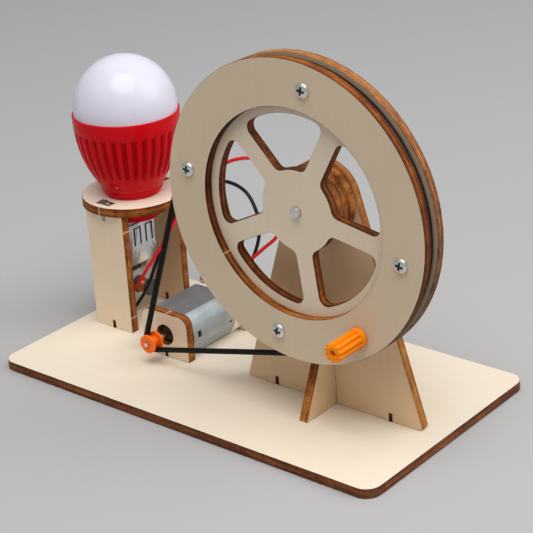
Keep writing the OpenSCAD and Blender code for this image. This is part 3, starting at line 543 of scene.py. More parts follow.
@dataclass(frozen=True)
class SolderMask:
    """Circuit board with a solder mask over faint copper areas, browner towards the front's lower end.

    Each area is its middle and its half widths, along Y and Z in millimetres.
    """

    name: str = "solder_mask"
    mask: Colour = (0.74, 0.76, 0.74)
    track: Colour = (0.62, 0.65, 0.61)
    dirt: Colour = (0.40, 0.38, 0.33)
    low_brown: Colour = (0.36, 0.28, 0.19)
    low_brown_top: float = 9.5
    low_brown_fade: float = 3.0
    front: float = -63.0
    areas: Tuple[Tuple[float, float, float, float], ...] = (
        (11.6, 6.2, 7.3, 2.3), (5.4, 13.6, 1.3, 4.4), (12.8, 12.9, 4.6, 3.6), (18.1, 19.0, 0.7, 10.0),
        (8.2, 19.6, 0.5, 4.0), (15.0, 19.6, 0.5, 4.0), (11.6, 20.4, 1.5, 3.2), (11.6, 30.4, 7.2, 4.6))

    def material(self) -> Material:
        """Make the material.

        Returns:
            The finished material.
        """
        graph = Graph(self.name)
        out, across, up = graph.place()
        tracks = reduce(Value.largest, [
            ((wide - abs(across - y)) * 8.0).clamp() * ((tall - abs(up - z)) * 8.0).clamp()
            for y, z, wide, tall in self.areas])
        speck = graph.noise((2.0, 2.0, 2.0), 1.4, 3.0, 0.6)
        colour = graph.mix(tracks * 0.8, self.mask, self.track)
        colour = graph.mix(((speck - 0.62) * 4.0).clamp() * 0.4, colour, self.dirt)
        # Browner towards the lower end of the front.
        low_share = (self.low_brown_top - up) / self.low_brown_fade + (speck - 0.5) * 1.5
        colour = graph.mix(low_share.clamp() * ((out - self.front) * 4.0).clamp() * 0.8, colour, self.low_brown)
        return graph.shade(Base_Color=colour, Roughness=speck * 0.15 + 0.30,
                           Normal=graph.bump(tracks, 0.035, 0.7))


@dataclass(frozen=True)
class SweepPaper:
    """Plain grey floor."""

    name: str = "floor_paper"
    colour: Colour = (0.445, 0.445, 0.447)

    def material(self) -> Material:
        """Make the material.

        Returns:
            The finished material.
        """
        graph = Graph(self.name)
        cloud = graph.noise(ORIGIN, 0.004, 2.0, 0.5)
        colour = graph.mix(cloud, self.colour, tuple(c * 0.97 for c in self.colour))
        return graph.shade(Base_Color=colour, Roughness=cloud * 0.1 + 0.75)


class Workshop:
    """Mesh tools shared by the sub-assemblies."""

    SHARP = math.radians(32)
    FLAT = math.radians(0.6)
    SAME_PLACE = 2e-6

    @staticmethod
    def put(name: str, data: bpy.types.ID) -> bpy.types.Object:
        """Put a new object into the scene.

        Args:
            name: The object's name.
            data: Its mesh, curve, camera or light.

        Returns:
            The object.
        """
        thing = bpy.data.objects.new(name, data)
        bpy.context.scene.collection.objects.link(thing)
        return thing

    @classmethod
    def copy_node(cls, node: str) -> Mesh:
        """Copy a CAD node's mesh, merged and with its flat areas joined.

        Args:
            node: Name of the CAD node.

        Returns:
            The copy.
        """
        bm = bmesh.new()
        bm.from_mesh(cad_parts[node].data)
        bmesh.ops.remove_doubles(bm, verts=bm.verts, dist=cls.SAME_PLACE)
        bmesh.ops.dissolve_limit(bm, angle_limit=cls.FLAT, verts=bm.verts[:], edges=bm.edges[:])
        return bm

    @staticmethod
    def bevel(bm: Mesh, edges: Sequence[bmesh.types.BMEdge], width: float, segments: int) -> None:
        """Bevel some edges, with a width in millimetres."""
        bmesh.ops.bevel(bm, geom=edges, offset=width * MM, offset_type="OFFSET", segments=segments,
                        profile=0.5, affect="EDGES", clamp_overlap=True, material=-1)

    @classmethod
    def soften(cls, bm: Mesh, width: float, segments: int = 2) -> None:
        """Bevel the sharp edges, with a width in millimetres."""
        sharp = [e for e in bm.edges if e.is_manifold and e.calc_face_angle() > cls.SHARP]
        cls.bevel(bm, sharp, width, segments)

    @staticmethod
    def turned(profile: Sequence[Tuple[float, float]], steps: int) -> Mesh:
        """Turn a closed profile about Z.

        Args:
            profile: Radius and height of its points, in millimetres.
            steps: Steps round the axis.

        Returns:
            The turned mesh.
        """
        bm = bmesh.new()
        verts = [bm.verts.new((r * MM, 0.0, z * MM)) for r, z in profile]
        edges = [bm.edges.new(pair) for pair in zip(verts, verts[1:] + verts[:1])]
        bmesh.ops.spin(bm, geom=verts + edges, cent=(0, 0, 0), axis=(0, 0, 1), dvec=(0, 0, 0),
                       angle=FULL_TURN, steps=steps, use_merge=True, use_duplicate=False)
        bmesh.ops.remove_doubles(bm, verts=bm.verts, dist=1e-7)
        bmesh.ops.recalc_face_normals(bm, faces=bm.faces)
        return bm

    @staticmethod
    def place(bm: Mesh, at: Point, turn: Optional[Matrix] = None) -> None:
        """Turn a mesh about the origin and move it.

        Args:
            bm: The mesh.
            at: Where the origin goes, in millimetres.
            turn: Rotation made first.
        """
        if turn is not None:
            bmesh.ops.transform(bm, matrix=turn.to_4x4(), verts=bm.verts)
        bmesh.ops.translate(bm, vec=Vector(at) * MM, verts=bm.verts)

    @staticmethod
    def merge(target: Mesh, extra: Mesh) -> None:
        """Add one mesh to another and free it.

        Args:
            target: The mesh that grows.
            extra: The mesh that is added.
        """
        scratch = bpy.data.meshes.new("scratch")
        extra.to_mesh(scratch)
        extra.free()
        target.from_mesh(scratch)
        bpy.data.meshes.remove(scratch)

    @classmethod
    def blob(cls, at: Point, radii: Point, material: int = 0, subdivisions: int = 3) -> Mesh:
        """Make a ball or drop.

        Args:
            at: Its middle, in millimetres.
            radii: Its radii along the axes, in millimetres.
            material: Number of its material.
            subdivisions: Fineness of its mesh.

        Returns:
            The mesh.
        """
        bm = bmesh.new()
        bmesh.ops.create_icosphere(bm, subdivisions=subdivisions, radius=1.0 * MM)
        bmesh.ops.scale(bm, vec=radii, verts=bm.verts)
        cls.place(bm, at)
        for face in bm.faces:
            face.material_index = material
        return bm

    @classmethod
    def piece(cls, bm: Mesh, name: str, body: Body, slot: Slot,
              materials: Sequence[Material], replaces: Sequence[str] = (),
              sharp: Optional[float] = None) -> bpy.types.Object:
        """Make a finished piece of a mesh.

        Args:
            bm: The mesh, which is freed.
            name: The piece's name.
            body: The body that it rides on.
            slot: Not used.
            materials: Its materials, in the order of the faces' numbers.
            replaces: The CAD nodes that it stands for.
            sharp: Least angle that shades sharp.

        Returns:
            The object.
        """
        mesh = bpy.data.meshes.new(name)
        for face in bm.faces:
            face.smooth = True
        bm.to_mesh(mesh)
        bm.free()
        mesh.set_sharp_from_angle(angle=cls.SHARP if sharp is None else sharp)
        for material in materials:
            mesh.materials.append(material)
        thing = cls.put(name, mesh)
        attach(thing, body.value)
        if replaces:
            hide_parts(*replaces)
        LOG.info("%s: %d faces on %s", name, len(mesh.polygons), body.value)
        return thing

    @classmethod
    def soft_copy(cls, node: str, name: str, body: Body, slot: Slot, material: Material,
                  arris: float, segments: int = 2) -> None:
        """Make a piece that is a CAD node with softened edges.

        Args:
            node: The CAD node that the piece stands for.
            name: The piece's name.
            body: The body that it rides on.
            slot: Kind of material, passed on to the piece.
            material: Its material.
            arris: Width of the softened edges in millimetres.
            segments: Their segments.
        """
        bm = cls.copy_node(node)
        cls.soften(bm, arris, segments)
        cls.piece(bm, name, body, slot, (material,), (node,))

    @staticmethod
    def dress(node: str, material: Material) -> None:
        """Give a CAD node that stays as it is a material.

        Args:
            node: The node.
            material: Its material.
        """
        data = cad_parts[node].data
        data.materials.clear()
        data.materials.append(material)
        LOG.info("%s: CAD node with %s", node, material.name)


ALONG_Y = Matrix.Rotation(math.radians(90), 3, "X")
ALONG_X = Matrix.Rotation(math.radians(90), 3, "Y")

WHEEL_CENTRE: Point = (34.5, 0.0, 70.1)
WHEEL_R = 46.0
FRAME_BOARDS = (
    Plywood("base_board", Axis.Z, Axis.X, 1.3, Timber.CREAM, char=0.15, mottle=0.35, bare=0.06),
    # The stand, gusset and rear bracket take the amber with painted shade.
    Plywood("stand_plate", Axis.Y, Axis.Z, 2.9, Timber.AMBER, char=-0.07, mottle=0.6, bare=0.08),
    # The gusset's edges get painted shade that deepens towards the top.
    Plywood("stand_gusset", Axis.X, Axis.Z, 4.1, Timber.AMBER, char=0.04,
            edge_shade=EdgeShadeSlope((0.0, 0.0, 18.0), (0.0, 0.0, 0.011))),
    Plywood("bearing_disc_front", Axis.Y, Axis.X, 5.7, mottle=1.3),
    Plywood("bearing_disc_back", Axis.Y, Axis.X, 6.3, mottle=1.3),
    Plywood("motor_front_bracket", Axis.Y, Axis.X, 11.3, Timber.STRAW, ((-29.0, 0.0, 18.5),)),
    Plywood("motor_rear_bracket", Axis.Y, Axis.X, 12.1, Timber.AMBER),
    Plywood("tower_front_board", Axis.Y, Axis.Z, 13.7, Timber.STRAW, ((-51.3, 0.0, 39.3), (-51.3, 0.0, 8.4))),
    # The tower's rear board takes the darker amber, painted shade.
    Plywood("tower_rear_board", Axis.Y, Axis.Z, 14.9, Timber.TAN),
    Plywood("lamp_plate", Axis.Z, Axis.X, 15.1, Timber.CREAM, ((-59.0, -5.6, 0.0),), char=0.05),
)
WHEEL_BOARDS = (
    # The front ring's edges get painted shade towards the right and bottom, and in its bore towards the left
    # and top.
    Plywood("wheel_front_ring", Axis.Y, Axis.Z, 7.9, nicks=((8.1, 0.0, 52.2), (23.2, 0.0, 114.7)), char=0.12,
            mottle=0.5, edge_shade=EdgeShadeSlope(WHEEL_CENTRE, (0.0020, 0.0, -0.0015), (-0.005, 0.0, 0.006))),
    Plywood("wheel_spoke_disc", Axis.Y, Axis.Z, 8.3, Timber.FAWN, char=0.18, mottle=0.6),
    # The rear ring's edges get painted shade towards the right and bottom; its faces get a soot stain with
    # painted shade towards the rim.
    Plywood("wheel_rear_ring", Axis.Y, Axis.Z, 9.7, char=0.02, mottle=0.5, bare=0.25,
            smoke_and_shade=(WHEEL_CENTRE, WHEEL_R), edge_shade=EdgeShadeSlope(WHEEL_CENTRE, (0.0030, 0.0, -0.0030))),
    Plywood("wheel_hub_disc", Axis.Y, Axis.X, 10.9, mottle=1.2),
)


@dataclass
class Woodwork:
    """All laser cut boards, and the glue in the slot and the slit of the tower's front tab."""

    boards: Mapping[Body, Tuple[Plywood, ...]] = field(
        default_factory=lambda: {Body.FRAME: FRAME_BOARDS, Body.WHEEL: WHEEL_BOARDS})
    arris: float = 0.10
    face_least: float = 0.97
    bead: Point = (-59.85, -1.85, 47.15)
    bead_radii: Point = (3.2, 1.6, 2.0)
    fill: Point = (-59.6, -2.95, 43.66)
    fill_size: Point = (1.26, 0.6, 2.72)
    fill_arris: float = 0.14

    def build(self) -> None:
        """Make every board and the glue."""
        for body, finishes in self.boards.items():
            for finish in finishes:
                self._board(body, finish)
        self._glue()

    def _board(self, body: Body, finish: Plywood) -> None:
        """Make one board with softened, burnt edges.

        Args:
            body: The body that it rides on.
            finish: Its finish, which names its CAD node.
        """
        node = finish.name
        bm = Workshop.copy_node(node)
        Workshop.soften(bm, self.arris, 1)
        bm.normal_update()
        for face in bm.faces:
            face.material_index = 0 if abs(face.normal[finish.sheet.value]) > self.face_least else 1
        board = Workshop.piece(bm, f"{node}_cut", body, Slot.PLYWOOD, (finish.face(), finish.edge()), (node,))
        for polygon in board.data.polygons:
            polygon.use_smooth = polygon.material_index == 1

    def _glue(self) -> None:
        """Fill the slit and put a bead into the slot."""
        glue = Plastic("dried_glue", (0.110, 0.068, 0.058), 0.12, coat=1.0, skin=0.01, tone=0.5).material()
        filler = Plastic("glue_in_slit", (0.37, 0.33, 0.255), 0.5, skin=0.03, tone=0.25).material()
        bm = bmesh.new()
        bmesh.ops.create_cube(bm, size=1.0 * MM)
        bmesh.ops.scale(bm, vec=self.fill_size, verts=bm.verts)
        Workshop.soften(bm, self.fill_arris)
        Workshop.place(bm, self.fill)
        for face in bm.faces:
            face.material_index = 1
        Workshop.merge(bm, Workshop.blob(self.bead, self.bead_radii, subdivisions=4))
        Workshop.piece(bm, "tab_glue_bead", Body.FRAME, Slot.PLYWOOD, (glue, filler))


@dataclass
class CrankWheel:
    """Metal and plastic pieces of the wheel: screws, nuts, axle, collar and handle.

    Lengths are in millimetres.
    """

    spline_arris: float = 0.14
    screw_count: int = 4
    screw_circle: float = 38.6
    screw_turn: float = -10.0
    screw_sharp: float = math.radians(40)
    head_arris: float = 0.06
    recess_arris: float = 0.13
    recess_reach: float = 1.45
    recess_depth: float = 0.9
    floor_depth: float = 0.5
    face_least: float = 0.8

    def build(self) -> None:
        """Make and dress the pieces."""
        plated = Metal("plated_screw_steel", (0.80, 0.80, 0.81), 0.36, Axis.Y).material()
        turned = Metal("axle_steel", (0.80, 0.81, 0.83), 0.34, Axis.Y).material()
        recess = Plastic("recess_shadow", (0.05, 0.05, 0.05), 0.6).material()
        cream = Plastic("collar_plastic", (0.80, 0.77, 0.68), 0.45).material()
        orange = Plastic("orange_handle_plastic", (1.0, 0.275, 0.003), 0.42, skin=0.02, tone=0.05,
                         subsurface=0.15, shine=0.15).material()
        self._screws(plated, recess)
        for node, body, material, arris in (("wheel_nuts", Body.WHEEL, plated, 0.10),
                                            ("wheel_axle", Body.WHEEL, turned, 0.25),
                                            ("handle_pin", Body.HANDLE, turned, 0.15)):
            Workshop.soft_copy(node, f"{node}_metal", body, Slot.STEEL, material, arris)
        Workshop.soft_copy("axle_collar", "axle_collar_sleeve", Body.WHEEL, Slot.CREAM, cream, arris=0.3,
                           segments=3)
        Workshop.soft_copy("handle_knob", "handle_splined_rod", Body.HANDLE, Slot.ORANGE, orange,
                           self.spline_arris)

    def _screws(self, plated: Material, recess: Material) -> None:
        """Make the screws, with worn recess edges and painted shadow in the recesses.

        Args:
            plated: Finish of the screws.
            recess: Painted shadow in the recesses.
        """
        bm = Workshop.copy_node("wheel_screws")
        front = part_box("wheel_screws")[0].y
        outside: List[bmesh.types.BMEdge] = []
        worn: List[bmesh.types.BMEdge] = []
        for edge in bm.edges:
            if edge.is_manifold and edge.calc_face_angle() > self.screw_sharp:
                if not self._in_recess((edge.verts[0].co + edge.verts[1].co) / 2, front):
                    outside.append(edge)
                elif edge.is_convex:
                    worn.append(edge)
        Workshop.bevel(bm, worn, self.recess_arris, 1)
        Workshop.bevel(bm, outside, self.head_arris, 1)
        bm.normal_update()
        for face in bm.faces:
            centre = face.calc_center_median()
            sunk = face.normal.y > -self.face_least or centre.y > front + self.floor_depth * MM
            face.material_index = int(sunk and self._in_recess(centre, front))
        Workshop.piece(bm, "wheel_screws_metal", Body.WHEEL, Slot.STEEL, (plated, recess), ("wheel_screws",))

    def _in_recess(self, place: Vector, front: float) -> bool:
        """Whether a point is in or beside a screw's recess.

        Args:
            place: The point, in metres.
            front: Where the heads' tops are, along Y.

        Returns:
            The answer.
        """
        gap = Vector((place.x / MM - WHEEL_CENTRE[0], place.z / MM - WHEEL_CENTRE[2]))
        start = math.radians(self.screw_turn)
        turns = (start + FULL_TURN * i / self.screw_count for i in range(self.screw_count))
        nearest = min((gap - self.screw_circle * Vector((math.cos(a), math.sin(a)))).length for a in turns)
        return nearest < self.recess_reach and place.y < front + self.recess_depth * MM


@dataclass
class BeltDrive:
    """Belt and motor pulley. Lengths are in millimetres."""

    belt_arris: float = 0.25
    pulley_x: float = -30.0
    pulley_y: float = -13.4
    pulley_z: float = 10.7
    length: float = 4.6
    flange: float = 1.0
    flange_r: float = 3.1
    groove_r: float = 1.8
    bore_r: float = 0.82
    round_r: float = 0.3
    steps: int = 64

    def build(self) -> None:
        """Make the belt and the pulley."""
        rubber = BeltRubber().material()
        Workshop.soft_copy("drive_belt", "drive_belt_rubber", Body.FRAME, Slot.BELT, rubber, self.belt_arris)
        self._pulley()

    def _pulley(self) -> None:
        """Turn the pulley with rounded flanges."""
        orange = Plastic("orange_pulley_plastic", (1.0, 0.160, 0.006), 0.40, skin=0.02, tone=0.06,
                         subsurface=0.10, shine=0.2).material()
        rim, low, r = self.flange_r, self.flange, self.round_r
        flange = [(rim - r, 0.0), (rim - 0.3 * r, 0.3 * r), (rim, r), (rim, low - 0.5 * r),
                  (rim - 0.4 * r, low), (self.groove_r + 0.15, low + 0.05), (self.groove_r, low + 0.3)]
        mirrored = [(radius, self.length - h) for radius, h in reversed(flange)]
        profile = [(self.bore_r, 0.0), *flange, *mirrored, (self.bore_r + 0.5, self.length),
                   (self.bore_r, self.length - 0.25)]
        bm = Workshop.turned(profile, self.steps)
        Workshop.place(bm, (self.pulley_x, self.pulley_y, self.pulley_z), ALONG_Y)
        Workshop.piece(bm, "motor_pulley_turned", Body.ROTOR, Slot.ORANGE, (orange,), ("motor_pulley",))


@dataclass
class ToyMotor:
    """Motor can, end cap, shaft and terminals. Lengths are in millimetres."""

    can_front: float = -6.4
    can_arris: float = 0.35
    # Black dot of painted shade where the can has a dimple.
    dimple_shade: Point = (-20.03, 11.8, 9.6)
    dimple_shade_radii: Point = (0.099, 0.55, 0.44)

    def build(self) -> None:
        """Make and dress the pieces."""
        zinc = Metal("motor_can_zinc", (0.485, 0.525, 0.535), 0.56, stain=0.38, scratch=0.03,
                     dent=1.2).material()
        # Painted shade: black on the can's front face and boss, seen through the bracket's hole, and on the
        # dimple.
        front_shade_black = Plastic("motor_front_painted_shade", (0.008, 0.007, 0.006), 0.6, shine=0.08).material()
        bm = Workshop.copy_node("motor_can")
        Workshop.soften(bm, self.can_arris, 3)
        for face in bm.faces:
            face.material_index = 1 if face.calc_center_median().y < (self.can_front + 0.02) * MM else 0
        # The dimple is a black dot of painted shade.
        Workshop.merge(bm, Workshop.blob(self.dimple_shade, self.dimple_shade_radii, 1))
        Workshop.piece(bm, "motor_can_drawn", Body.FRAME, Slot.STEEL, (zinc, front_shade_black), ("motor_can",))
        cream = Plastic("end_cap_plastic", (0.83, 0.81, 0.74), 0.42).material()
        steel = Metal("motor_shaft_steel", (0.68, 0.68, 0.69), 0.22, Axis.Y).material()
        brass = Metal("terminal_brass", (0.72, 0.53, 0.25), 0.35, Axis.Z).material()
        for node, kind, body, slot, material, arris in (
                ("motor_end_cap", "moulded", Body.FRAME, Slot.CREAM, cream, 0.25),
                ("motor_shaft", "ground", Body.ROTOR, Slot.STEEL, steel, 0.2),
                ("motor_terminals", "brass", Body.FRAME, Slot.BRASS, brass, 0.12)):
            Workshop.soft_copy(node, f"{node}_{kind}", body, slot, material, arris)
        self._inside(steel)

    def _inside(self, steel: Material) -> None:
        """Dress the pieces inside the can.

        Args:
            steel: Finish of the iron core.
        """
        # The bushing's bronze is darkened as painted shade in the bracket's hole.
        shaded_bronze = Metal("bushing_bronze_painted_shade", (0.07, 0.045, 0.03), 0.55, Axis.Y).material()
        copper = Metal("coil_copper", (0.62, 0.27, 0.11), 0.38, Axis.Y).material()
        ferrite = Plastic("magnet_ferrite", (0.05, 0.05, 0.055), 0.6).material()
        for node, material in (("motor_bushings", shaded_bronze), ("motor_brushes", copper),
                               ("motor_magnets", ferrite), ("armature_core", steel),
                               ("armature_windings", copper), ("commutator", copper)):
            Workshop.dress(node, material)


@dataclass
class PlugLamp:
    """Red fluted cup, white dome, diode board and plug.

    Lengths are in millimetres, and heights are from the lamp plate's top.
    """

    x: float = -59.6
    y: float = 11.6
    plate: float = 48.0
    cup_r: float = 17.78
    foot_r: float = 10.3
    shoulder_r: float = 10.8
    cup_h: float = 28.5
    lip: float = 0.35
    seat_r: float = 17.26
    ledge_r: float = 15.1
    ledge_inner_r: float = 13.8
    ledge_h: float = 24.0
    floor_r: float = 8.3
    floor_h: float = 4.0
    pole_r: float = 0.02
    foot_h: float = 3.0
    foot: Tuple[Tuple[float, float], ...] = (
        (8.8, 0.02), (9.3, 0.10), (9.6, 0.45), (9.7, 0.9), (9.7, 1.35), (9.85, 1.5), (10.15, 1.55),
        (10.3, 1.75), (10.3, 2.5), (10.4, 2.9), (10.65, 3.02))
    curve: float = 2.4
    ribs: int = 32
    rib_low: float = 8.0
    rib_high: float = 23.5
    flute: float = 0.8
    flute_end: float = 1.1
    flute_land: float = 0.42
    flute_slope: float = 0.34
    neck_r: float = 8.5
    neck_low: float = -8.5
    dome_r: float = 17.2
    dome_seat: float = 26.0
    dome_centre: float = 29.9
    dome_wall: float = 1.2
    steps: int = 320
    wall_rows: int = 44
    gate_h: float = 5.4
    gate_r: float = 0.42
    gate_turn: float = math.radians(-71)
    floor_least: float = 0.7

    def side(self, height: float) -> float:
        """Radius of the cup's outside at a height."""
        share = max(0.0, (self.cup_h - height) / (self.cup_h - self.foot_h))
        return self.cup_r - (self.cup_r - self.foot_r) * share ** self.curve

    def build(self) -> None:
        """Make and dress the pieces."""
        self._cup()
        self._dome()
        white = Plastic("diode_board_white", (0.80, 0.80, 0.80), 0.4).material()
        diode = Plastic("diode_yellow", (0.80, 0.68, 0.22), 0.3).material()
        # The plug's steel is darkened as painted shade behind the socket's slits.
        plug_steel_painted_shade = Metal("plug_steel_painted_shade", (0.34, 0.34, 0.35), 0.30, Axis.Z).material()
        for node, material in (("led_board", white), ("leds", diode), ("plug_insert", white)):
            Workshop.dress(node, material)
        Workshop.soft_copy("plug_shell", "plug_shell_folded", Body.LAMP, Slot.STEEL, plug_steel_painted_shade, arris=0.1)

    def _cup(self) -> None:
        """Turn the cup, press its flutes and paint shade on their floors."""
        red = Plastic("lamp_cup_plastic", (0.64, 0.003, 0.008), 0.26, skin=0.01, tone=0.10,
                      subsurface=0.04, shine=0.10).material()
        # The gate pip is real; its pale pink is a painted highlight.
        pale = Plastic("lamp_gate_painted_highlight", (0.74, 0.20, 0.20), 0.30).material()
        # Darker red on the flutes' floors is painted shade.
        deep = Plastic("lamp_flute_painted_shade", (0.43, 0.001, 0.004), 0.40, skin=0.01, tone=0.10,
                       subsurface=0.04, shine=0.05).material()
        step = (self.cup_h - self.lip - self.foot_h) / self.wall_rows
        heights = [self.foot_h + step * i for i in range(1, self.wall_rows + 1)]
        profile = [(self.pole_r, self.neck_low), (self.neck_r - 0.6, self.neck_low),
                   (self.neck_r - 0.15, self.neck_low + 0.15), (self.neck_r, self.neck_low + 0.6),
                   (self.neck_r, -0.05), *self.foot]
        profile += [(self.side(h), h) for h in heights if self.side(h) > self.shoulder_r]
        profile += [(self.cup_r - 0.04, self.cup_h - 0.12), (self.cup_r - 0.18, self.cup_h),
                    (self.seat_r + 0.16, self.cup_h), (self.seat_r + 0.02, self.cup_h - 0.15),
                    (self.seat_r, self.dome_seat), (self.ledge_r, self.dome_seat),
                    (self.ledge_r, self.ledge_h), (self.ledge_inner_r, self.ledge_h),
                    (self.floor_r, self.floor_h), (self.pole_r, self.floor_h)]
        bm = Workshop.turned(profile, self.steps)
        sunk = {vert for vert in bm.verts if self._press_flute(vert)}
        # Faces on a flute's floor take the painted shade.
        for face in bm.faces:
            face.material_index = int(all(vert in sunk for vert in face.verts))
        Workshop.place(bm, (self.x, self.y, self.plate))
        reach = self.side(self.gate_h)
        gate = (self.x + reach * math.cos(self.gate_turn), self.y + reach * math.sin(self.gate_turn),
                self.plate + self.gate_h)
        # The gate pip carries the painted highlight.
        Workshop.merge(bm, Workshop.blob(gate, (self.gate_r, self.gate_r, self.gate_r), 2))
        Workshop.piece(bm, "lamp_cup_fluted", Body.LAMP, Slot.RED, (red, deep, pale), ("lamp_cup",),
                       sharp=math.radians(50))

    def _press_flute(self, vert: bmesh.types.BMVert) -> bool:
        """Move one point of the cup's side into its flute.

        Args:
            vert: The point.

        Returns:
            Whether the point is now on the flute's floor.
        """
        height = vert.co.z / MM
        radius = math.hypot(vert.co.x, vert.co.y) / MM
        if not self.rib_low < height < self.rib_high or radius < self.side(height) - 0.02:
            return False
        ends = min(height - self.rib_low, self.rib_high - height) / self.flute_end
        fade = min(1.0, ends) ** 0.5
        wave = 0.5 - 0.5 * math.cos(self.ribs * math.atan2(vert.co.y, vert.co.x))
        dip = min(1.0, max(0.0, (wave - self.flute_land) / self.flute_slope))
        dip = dip * dip * (3 - 2 * dip)
        scale = (radius - self.flute * dip * fade) / radius
        vert.co.x *= scale
        vert.co.y *= scale
        return dip * fade > self.floor_least

    def _dome(self) -> None:
        """Cut the dome from a sphere, add its skirt and give it a wall."""
        frosted = Plastic("dome_frosted_plastic", (0.80, 0.742, 0.925), 0.07, skin=0.001, tone=0.02,
                          subsurface=0.6, shine=0.28, depth=5.0).material()
        bm = bmesh.new()
        bmesh.ops.create_uvsphere(bm, u_segments=128, v_segments=64, radius=self.dome_r * MM)
        bmesh.ops.bisect_plane(bm, geom=bm.verts[:] + bm.edges[:] + bm.faces[:], plane_co=(0, 0, 0),
                               plane_no=(0, 0, 1), clear_inner=True, dist=1e-7)
        rim = [e for e in bm.edges if e.is_boundary]
        grown = bmesh.ops.extrude_edge_only(bm, edges=rim)
        skirt = [g for g in grown["geom"] if isinstance(g, bmesh.types.BMVert)]
        bmesh.ops.translate(bm, vec=(0, 0, (self.dome_seat - self.dome_centre) * MM), verts=skirt)
        bmesh.ops.recalc_face_normals(bm, faces=bm.faces)
        bmesh.ops.solidify(bm, geom=bm.faces[:], thickness=self.dome_wall * MM)
        Workshop.place(bm, (self.x, self.y, self.plate + self.dome_centre))
        Workshop.piece(bm, "lamp_dome_frosted", Body.LAMP, Slot.DOME, (frosted,), ("lamp_dome",),
                       sharp=math.radians(60))


@dataclass
class BoosterBoard:
    """Step-up board with its socket and parts. Lengths are in millimetres."""

    face_x: float = -62.45
    inductor_y: float = 12.6
    inductor_z: float = 12.7
    inductor_h: float = 6.2
    flange: float = 1.1
    wire_r: float = 0.24
    wire_sides: int = 10
    wire_gap: float = 0.288
    turns: int = 7
    turn_steps: int = 28
    coil_r: float = 2.25
    core_r: float = 1.42
    core_h: float = 3.9
    core_steps: int = 32
    back_x: float = -63.65
    pad_drop: Point = (0.55, 1.0, 1.0)
    terminal_drop: Point = (1.0, 0.7, 1.15)
    pin_flat: float = 0.5
    pads: Tuple[Point, ...] = ((-62.45, 5.4, 13.0), (-62.45, 5.4, 7.0))
    pins: Tuple[Tuple[float, float, float], ...] = (
        (5.4, 13.0, 0.9), (5.4, 7.0, 0.9), (10.4, 12.7, 0.75), (14.8, 12.7, 0.75), (5.6, 25.6, 0.9),
        (17.6, 25.6, 0.9), (5.6, 33.4, 0.9), (17.6, 33.4, 0.9), (8.1, 24.2, 0.55), (10.4, 24.2, 0.55),
        (12.8, 24.2, 0.55), (15.1, 24.2, 0.55))
    terminals: Tuple[Point, ...] = ((-35.0, 15.65, 19.8), (-25.0, 15.65, 19.8))

    def build(self) -> None:
        """Make and dress the pieces."""
        steel = Metal("socket_steel", (0.70, 0.70, 0.71), 0.24, Axis.Z, stain=0.15).material()
        white = Plastic("socket_insulator", (0.78, 0.78, 0.76), 0.45).material()
        ferrite = Plastic("inductor_ferrite", (0.055, 0.055, 0.06), 0.55, skin=0.05).material()
        chip = Plastic("chip_package", (0.02, 0.02, 0.022), 0.4, skin=0.03).material()
        ceramic = Plastic("capacitor_ceramic", (0.66, 0.58, 0.44), 0.35).material()
        for node, material, slot, arris in (
                ("booster_board", SolderMask().material(), Slot.BOARD, 0.1),
                ("socket_shell", steel, Slot.STEEL, 0.06),
                ("inductor_core", ferrite, Slot.FERRITE, 0.2),
                ("booster_capacitors", ceramic, Slot.CAPACITOR, 0.15),
                ("booster_chip", chip, Slot.BLACK, 0.15)):
            Workshop.soft_copy(node, f"{node}_fine", Body.FRAME, slot, material, arris)
        Workshop.dress("socket_tongue", white)
        self._winding()
        self._solder()

    def _winding(self) -> None:
        """Wind the inductor's wire between its flanges."""
        copper = Metal("winding_copper", (0.66, 0.25, 0.08), 0.34, Axis.X).material()
        pitch = (self.inductor_h - 2 * self.flange - 2 * self.wire_gap) / self.turns
        bm = bmesh.new()
        section = Matrix.Translation((self.coil_r * MM, 0, 0)) @ ALONG_Y.to_4x4()
        bmesh.ops.create_circle(bm, cap_ends=False, segments=self.wire_sides, radius=self.wire_r * MM,
                                matrix=section)
        steps = self.turn_steps * self.turns
        bmesh.ops.spin(bm, geom=bm.verts[:] + bm.edges[:], cent=(0, 0, 0), axis=(0, 0, 1),
                       dvec=(0, 0, pitch * self.turns * MM / steps), angle=FULL_TURN * self.turns,
                       steps=steps, use_merge=False, use_duplicate=False)
        bmesh.ops.holes_fill(bm, edges=bm.edges, sides=self.wire_sides)
        bmesh.ops.recalc_face_normals(bm, faces=bm.faces)
        start = self.face_x + self.flange + self.wire_gap
        Workshop.place(bm, (start, self.inductor_y, self.inductor_z), ALONG_X)
        core = Workshop.turned([(self.core_r, 0.0), (self.coil_r, 0.0), (self.coil_r, self.core_h),
                                (self.core_r, self.core_h)], self.core_steps)
        Workshop.place(core, (self.face_x + self.flange + 0.05, self.inductor_y, self.inductor_z), ALONG_X)
        Workshop.merge(bm, core)
        Workshop.piece(bm, "inductor_winding_wire", Body.FRAME, Slot.COPPER, (copper,), ("inductor_winding",))

    def _solder(self) -> None:
        """Put solder on the pads, on the pins at the board's back and on the motor's terminals."""
        tin = Metal("solder_tin", (0.62, 0.62, 0.63), 0.30, Axis.Z, stain=0.2, scratch=0.03).material()
        places = [(p, self.pad_drop) for p in self.pads]
        places += [((self.back_x, y, z), (self.pin_flat * size, size, size)) for y, z, size in self.pins]
        places += [(p, self.terminal_drop) for p in self.terminals]
        whole = bmesh.new()
        for at, radii in places:
            Workshop.merge(whole, Workshop.blob(at, radii))
        Workshop.piece(whole, "solder_joints", Body.FRAME, Slot.STEEL, (tin,))


